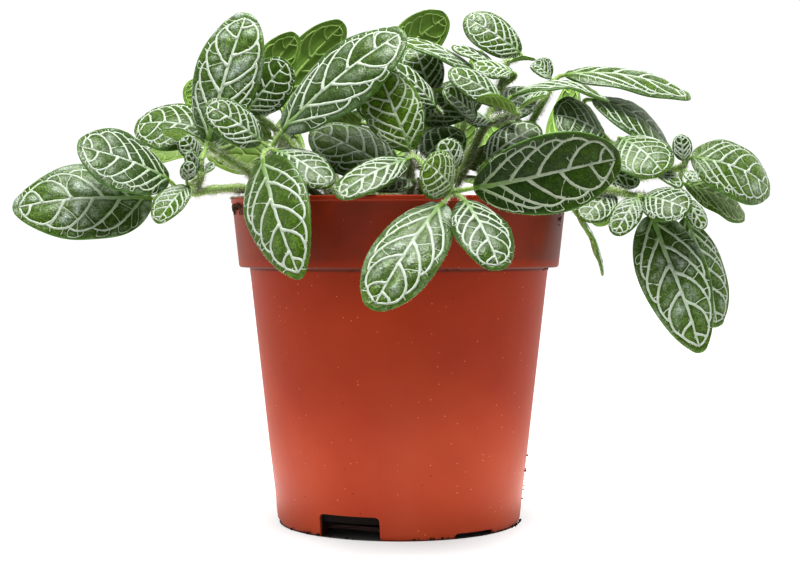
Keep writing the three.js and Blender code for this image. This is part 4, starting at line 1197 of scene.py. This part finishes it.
# The stems are juicy and pale green, greyer where they are old, with faint streaks
stem_green, tree, shader, place = new_material("stem_green", {
    "Roughness": 0.5, "Specular IOR Level": 0.4, "Sheen Weight": 0.3,
    "Subsurface Weight": 0.12, "Subsurface Scale": 1.5 * MM, "Subsurface Radius": (0.8, 1.0, 0.3),
})
streak_size = 2.857
tint = node(tree, "Attribute", {}, attribute_name="tint")
tint = node(tree, "SeparateColor", {"Color": tint}).outputs
aged = node(tree, "Mix", {"Factor": tint["Red"], "A": "#8b9a63", "B": "#93b457"}, data_type="RGBA")
streaks = node(tree, "TexNoise", {"Vector": place, "Scale": 1 / (streak_size * MM), "Detail": 3})
streaks = node(tree, "Mix", {"Factor": streaks, "A": "#a8a8a0", "B": "#ffffff"}, data_type="RGBA")
aged = node(tree, "Mix", {"Factor": 0.7, "A": aged, "B": streaks}, data_type="RGBA", blend_type="MULTIPLY")
fill(shader, {"Base Color": aged})

# The underside is paler and matt, because its tissue is full of air. So are the veins' undersides,
# which stand out of it.
under_looks = []
for name, mottle_size, detail, dark, light, constants in (
    ("leaf_underside", 3.333, 3, "#75963c", "#8fae54", {
        "Roughness": 0.55, "Specular IOR Level": 0.4, "Sheen Weight": 0.2,
        "Subsurface Weight": 0.1, "Subsurface Scale": 1 * MM, "Subsurface Radius": (0.5, 1.0, 0.2),
    }),
    ("vein_underside", 2.5, 2, "#8fae5a", "#a6bf76", {"Roughness": 0.5}),
):
    look, tree, shader, place = new_material(name, constants)
    mottle = node(tree, "TexNoise", {"Vector": place, "Scale": 1 / (mottle_size * MM), "Detail": detail})
    pale = node(tree, "Mix", {"Factor": mottle, "A": dark, "B": light}, data_type="RGBA")
    fill(shader, {"Base Color": pale})
    under_looks.append(look)
leaf_under, vein_under = under_looks

# The hairs are clear and look white
hair_white = new_material("plant_hair", {"Roughness": 0.6, "Base Color": "#f2f2ea"})[0]

# In the order of the numbers that the blades, veins, tubes and hairs are given above
plant_finishes = [lamina, leaf_under, vein_white, vein_under, stem_green, hair_white]

# The far side's stems follow a rule: each rises at its own bearing and leans out, with its pairs
# of leaves turning a quarter from joint to joint. Each row gives the name, bearing, seed, root's
# reach, which joints hold sideways pairs, the joints' reach and rise, leaf lengths and droop.
hidden_shoots = [
    ("shoot_behind_1", 29, 11, 34, 0, (48, 62, 72), (122, 125, 121), (24, 34, 20), 0.15),
    ("shoot_behind_2", 60, 23, 34, 1, (46, 60, 70), (126, 130, 122), (21, 34, 26), 0.75),
    ("shoot_behind_3", 92, 37, 34, 0, (48, 61, 71), (122, 124, 118), (19, 34, 24), 0.75),
    ("shoot_behind_4", 124, 41, 34, 1, (46, 60, 70), (126, 130, 122), (20, 34, 26), 0.75),
    ("shoot_inner_1", 45, 59, 17, 1, (21, 28, 36), (119, 128, 148), (0, 25, 22), 0.2),
    ("shoot_inner_2", 109, 67, 17, 1, (21, 28, 38), (122, 144, 151), (0, 28, 21), 0.2),
    ("shoot_inner_3", 154, 70, 27, 0, (31, 40, 49), (122, 133, 138), (0, 19, 22), 0.2),
]
stalk_length = 5
width_share = 0.56


def make_draw(seed):
    """A repeatable draw between 0 and 1."""
    state = seed
    while True:
        state = (state * 16807) % 2147483647
        yield state / 2147483647


def ruled_shoot(name, bearing, seed, root, sideways_at, reach, rise, lengths, droop):
    """One of the far side's stems, with the same draws as its solid."""
    draw = make_draw(seed)

    def vary(middle, spread):
        return middle * (1 + spread * (2 * next(draw) - 1))

    a = math.radians(bearing)
    out, aside, up = np.array([(math.cos(a), math.sin(a), 0), (-math.sin(a), math.cos(a), 0), (0, 0, 1)])
    stem = [out * r + up * z for r, z in zip(reach, rise)]
    leaves = []
    for i, joint in enumerate(stem):
        for side in (-1, 1) if lengths[i] > 0 else ():
            if i % 2 == sideways_at:
                heading = aside * side * 0.9 + out * vary(0.4, 0.3)
                heading = heading + up * vary(-0.04 if i == 0 else 0.06, 0.6)
            elif side > 0:
                heading = out * vary(0.35, 0.3) + up * 0.9
            else:
                fall = 0.2 if reach[i] < band_foot_radius else droop
                heading = out * math.sqrt(1 - fall ** 2) - up * fall
            heading = unit(heading)
            length = vary(lengths[i], 0.1)
            base = joint + heading * stalk_length
            leaves.append(leaf(base, base + heading * length, width_share * length, out + up,
                               0.07 * length, -0.04 * length))
    return {"name": name, "root": (out * root)[:2], "stem": stem, "leaves": leaves}


for number, shoot in enumerate(seen_shoots + [ruled_shoot(*values) for values in hidden_shoots]):
    grown = new_object(shoot["name"] + "_grown", grow(shoot, number), plant_finishes)
    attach(grown, "root")
    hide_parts(shoot["name"])
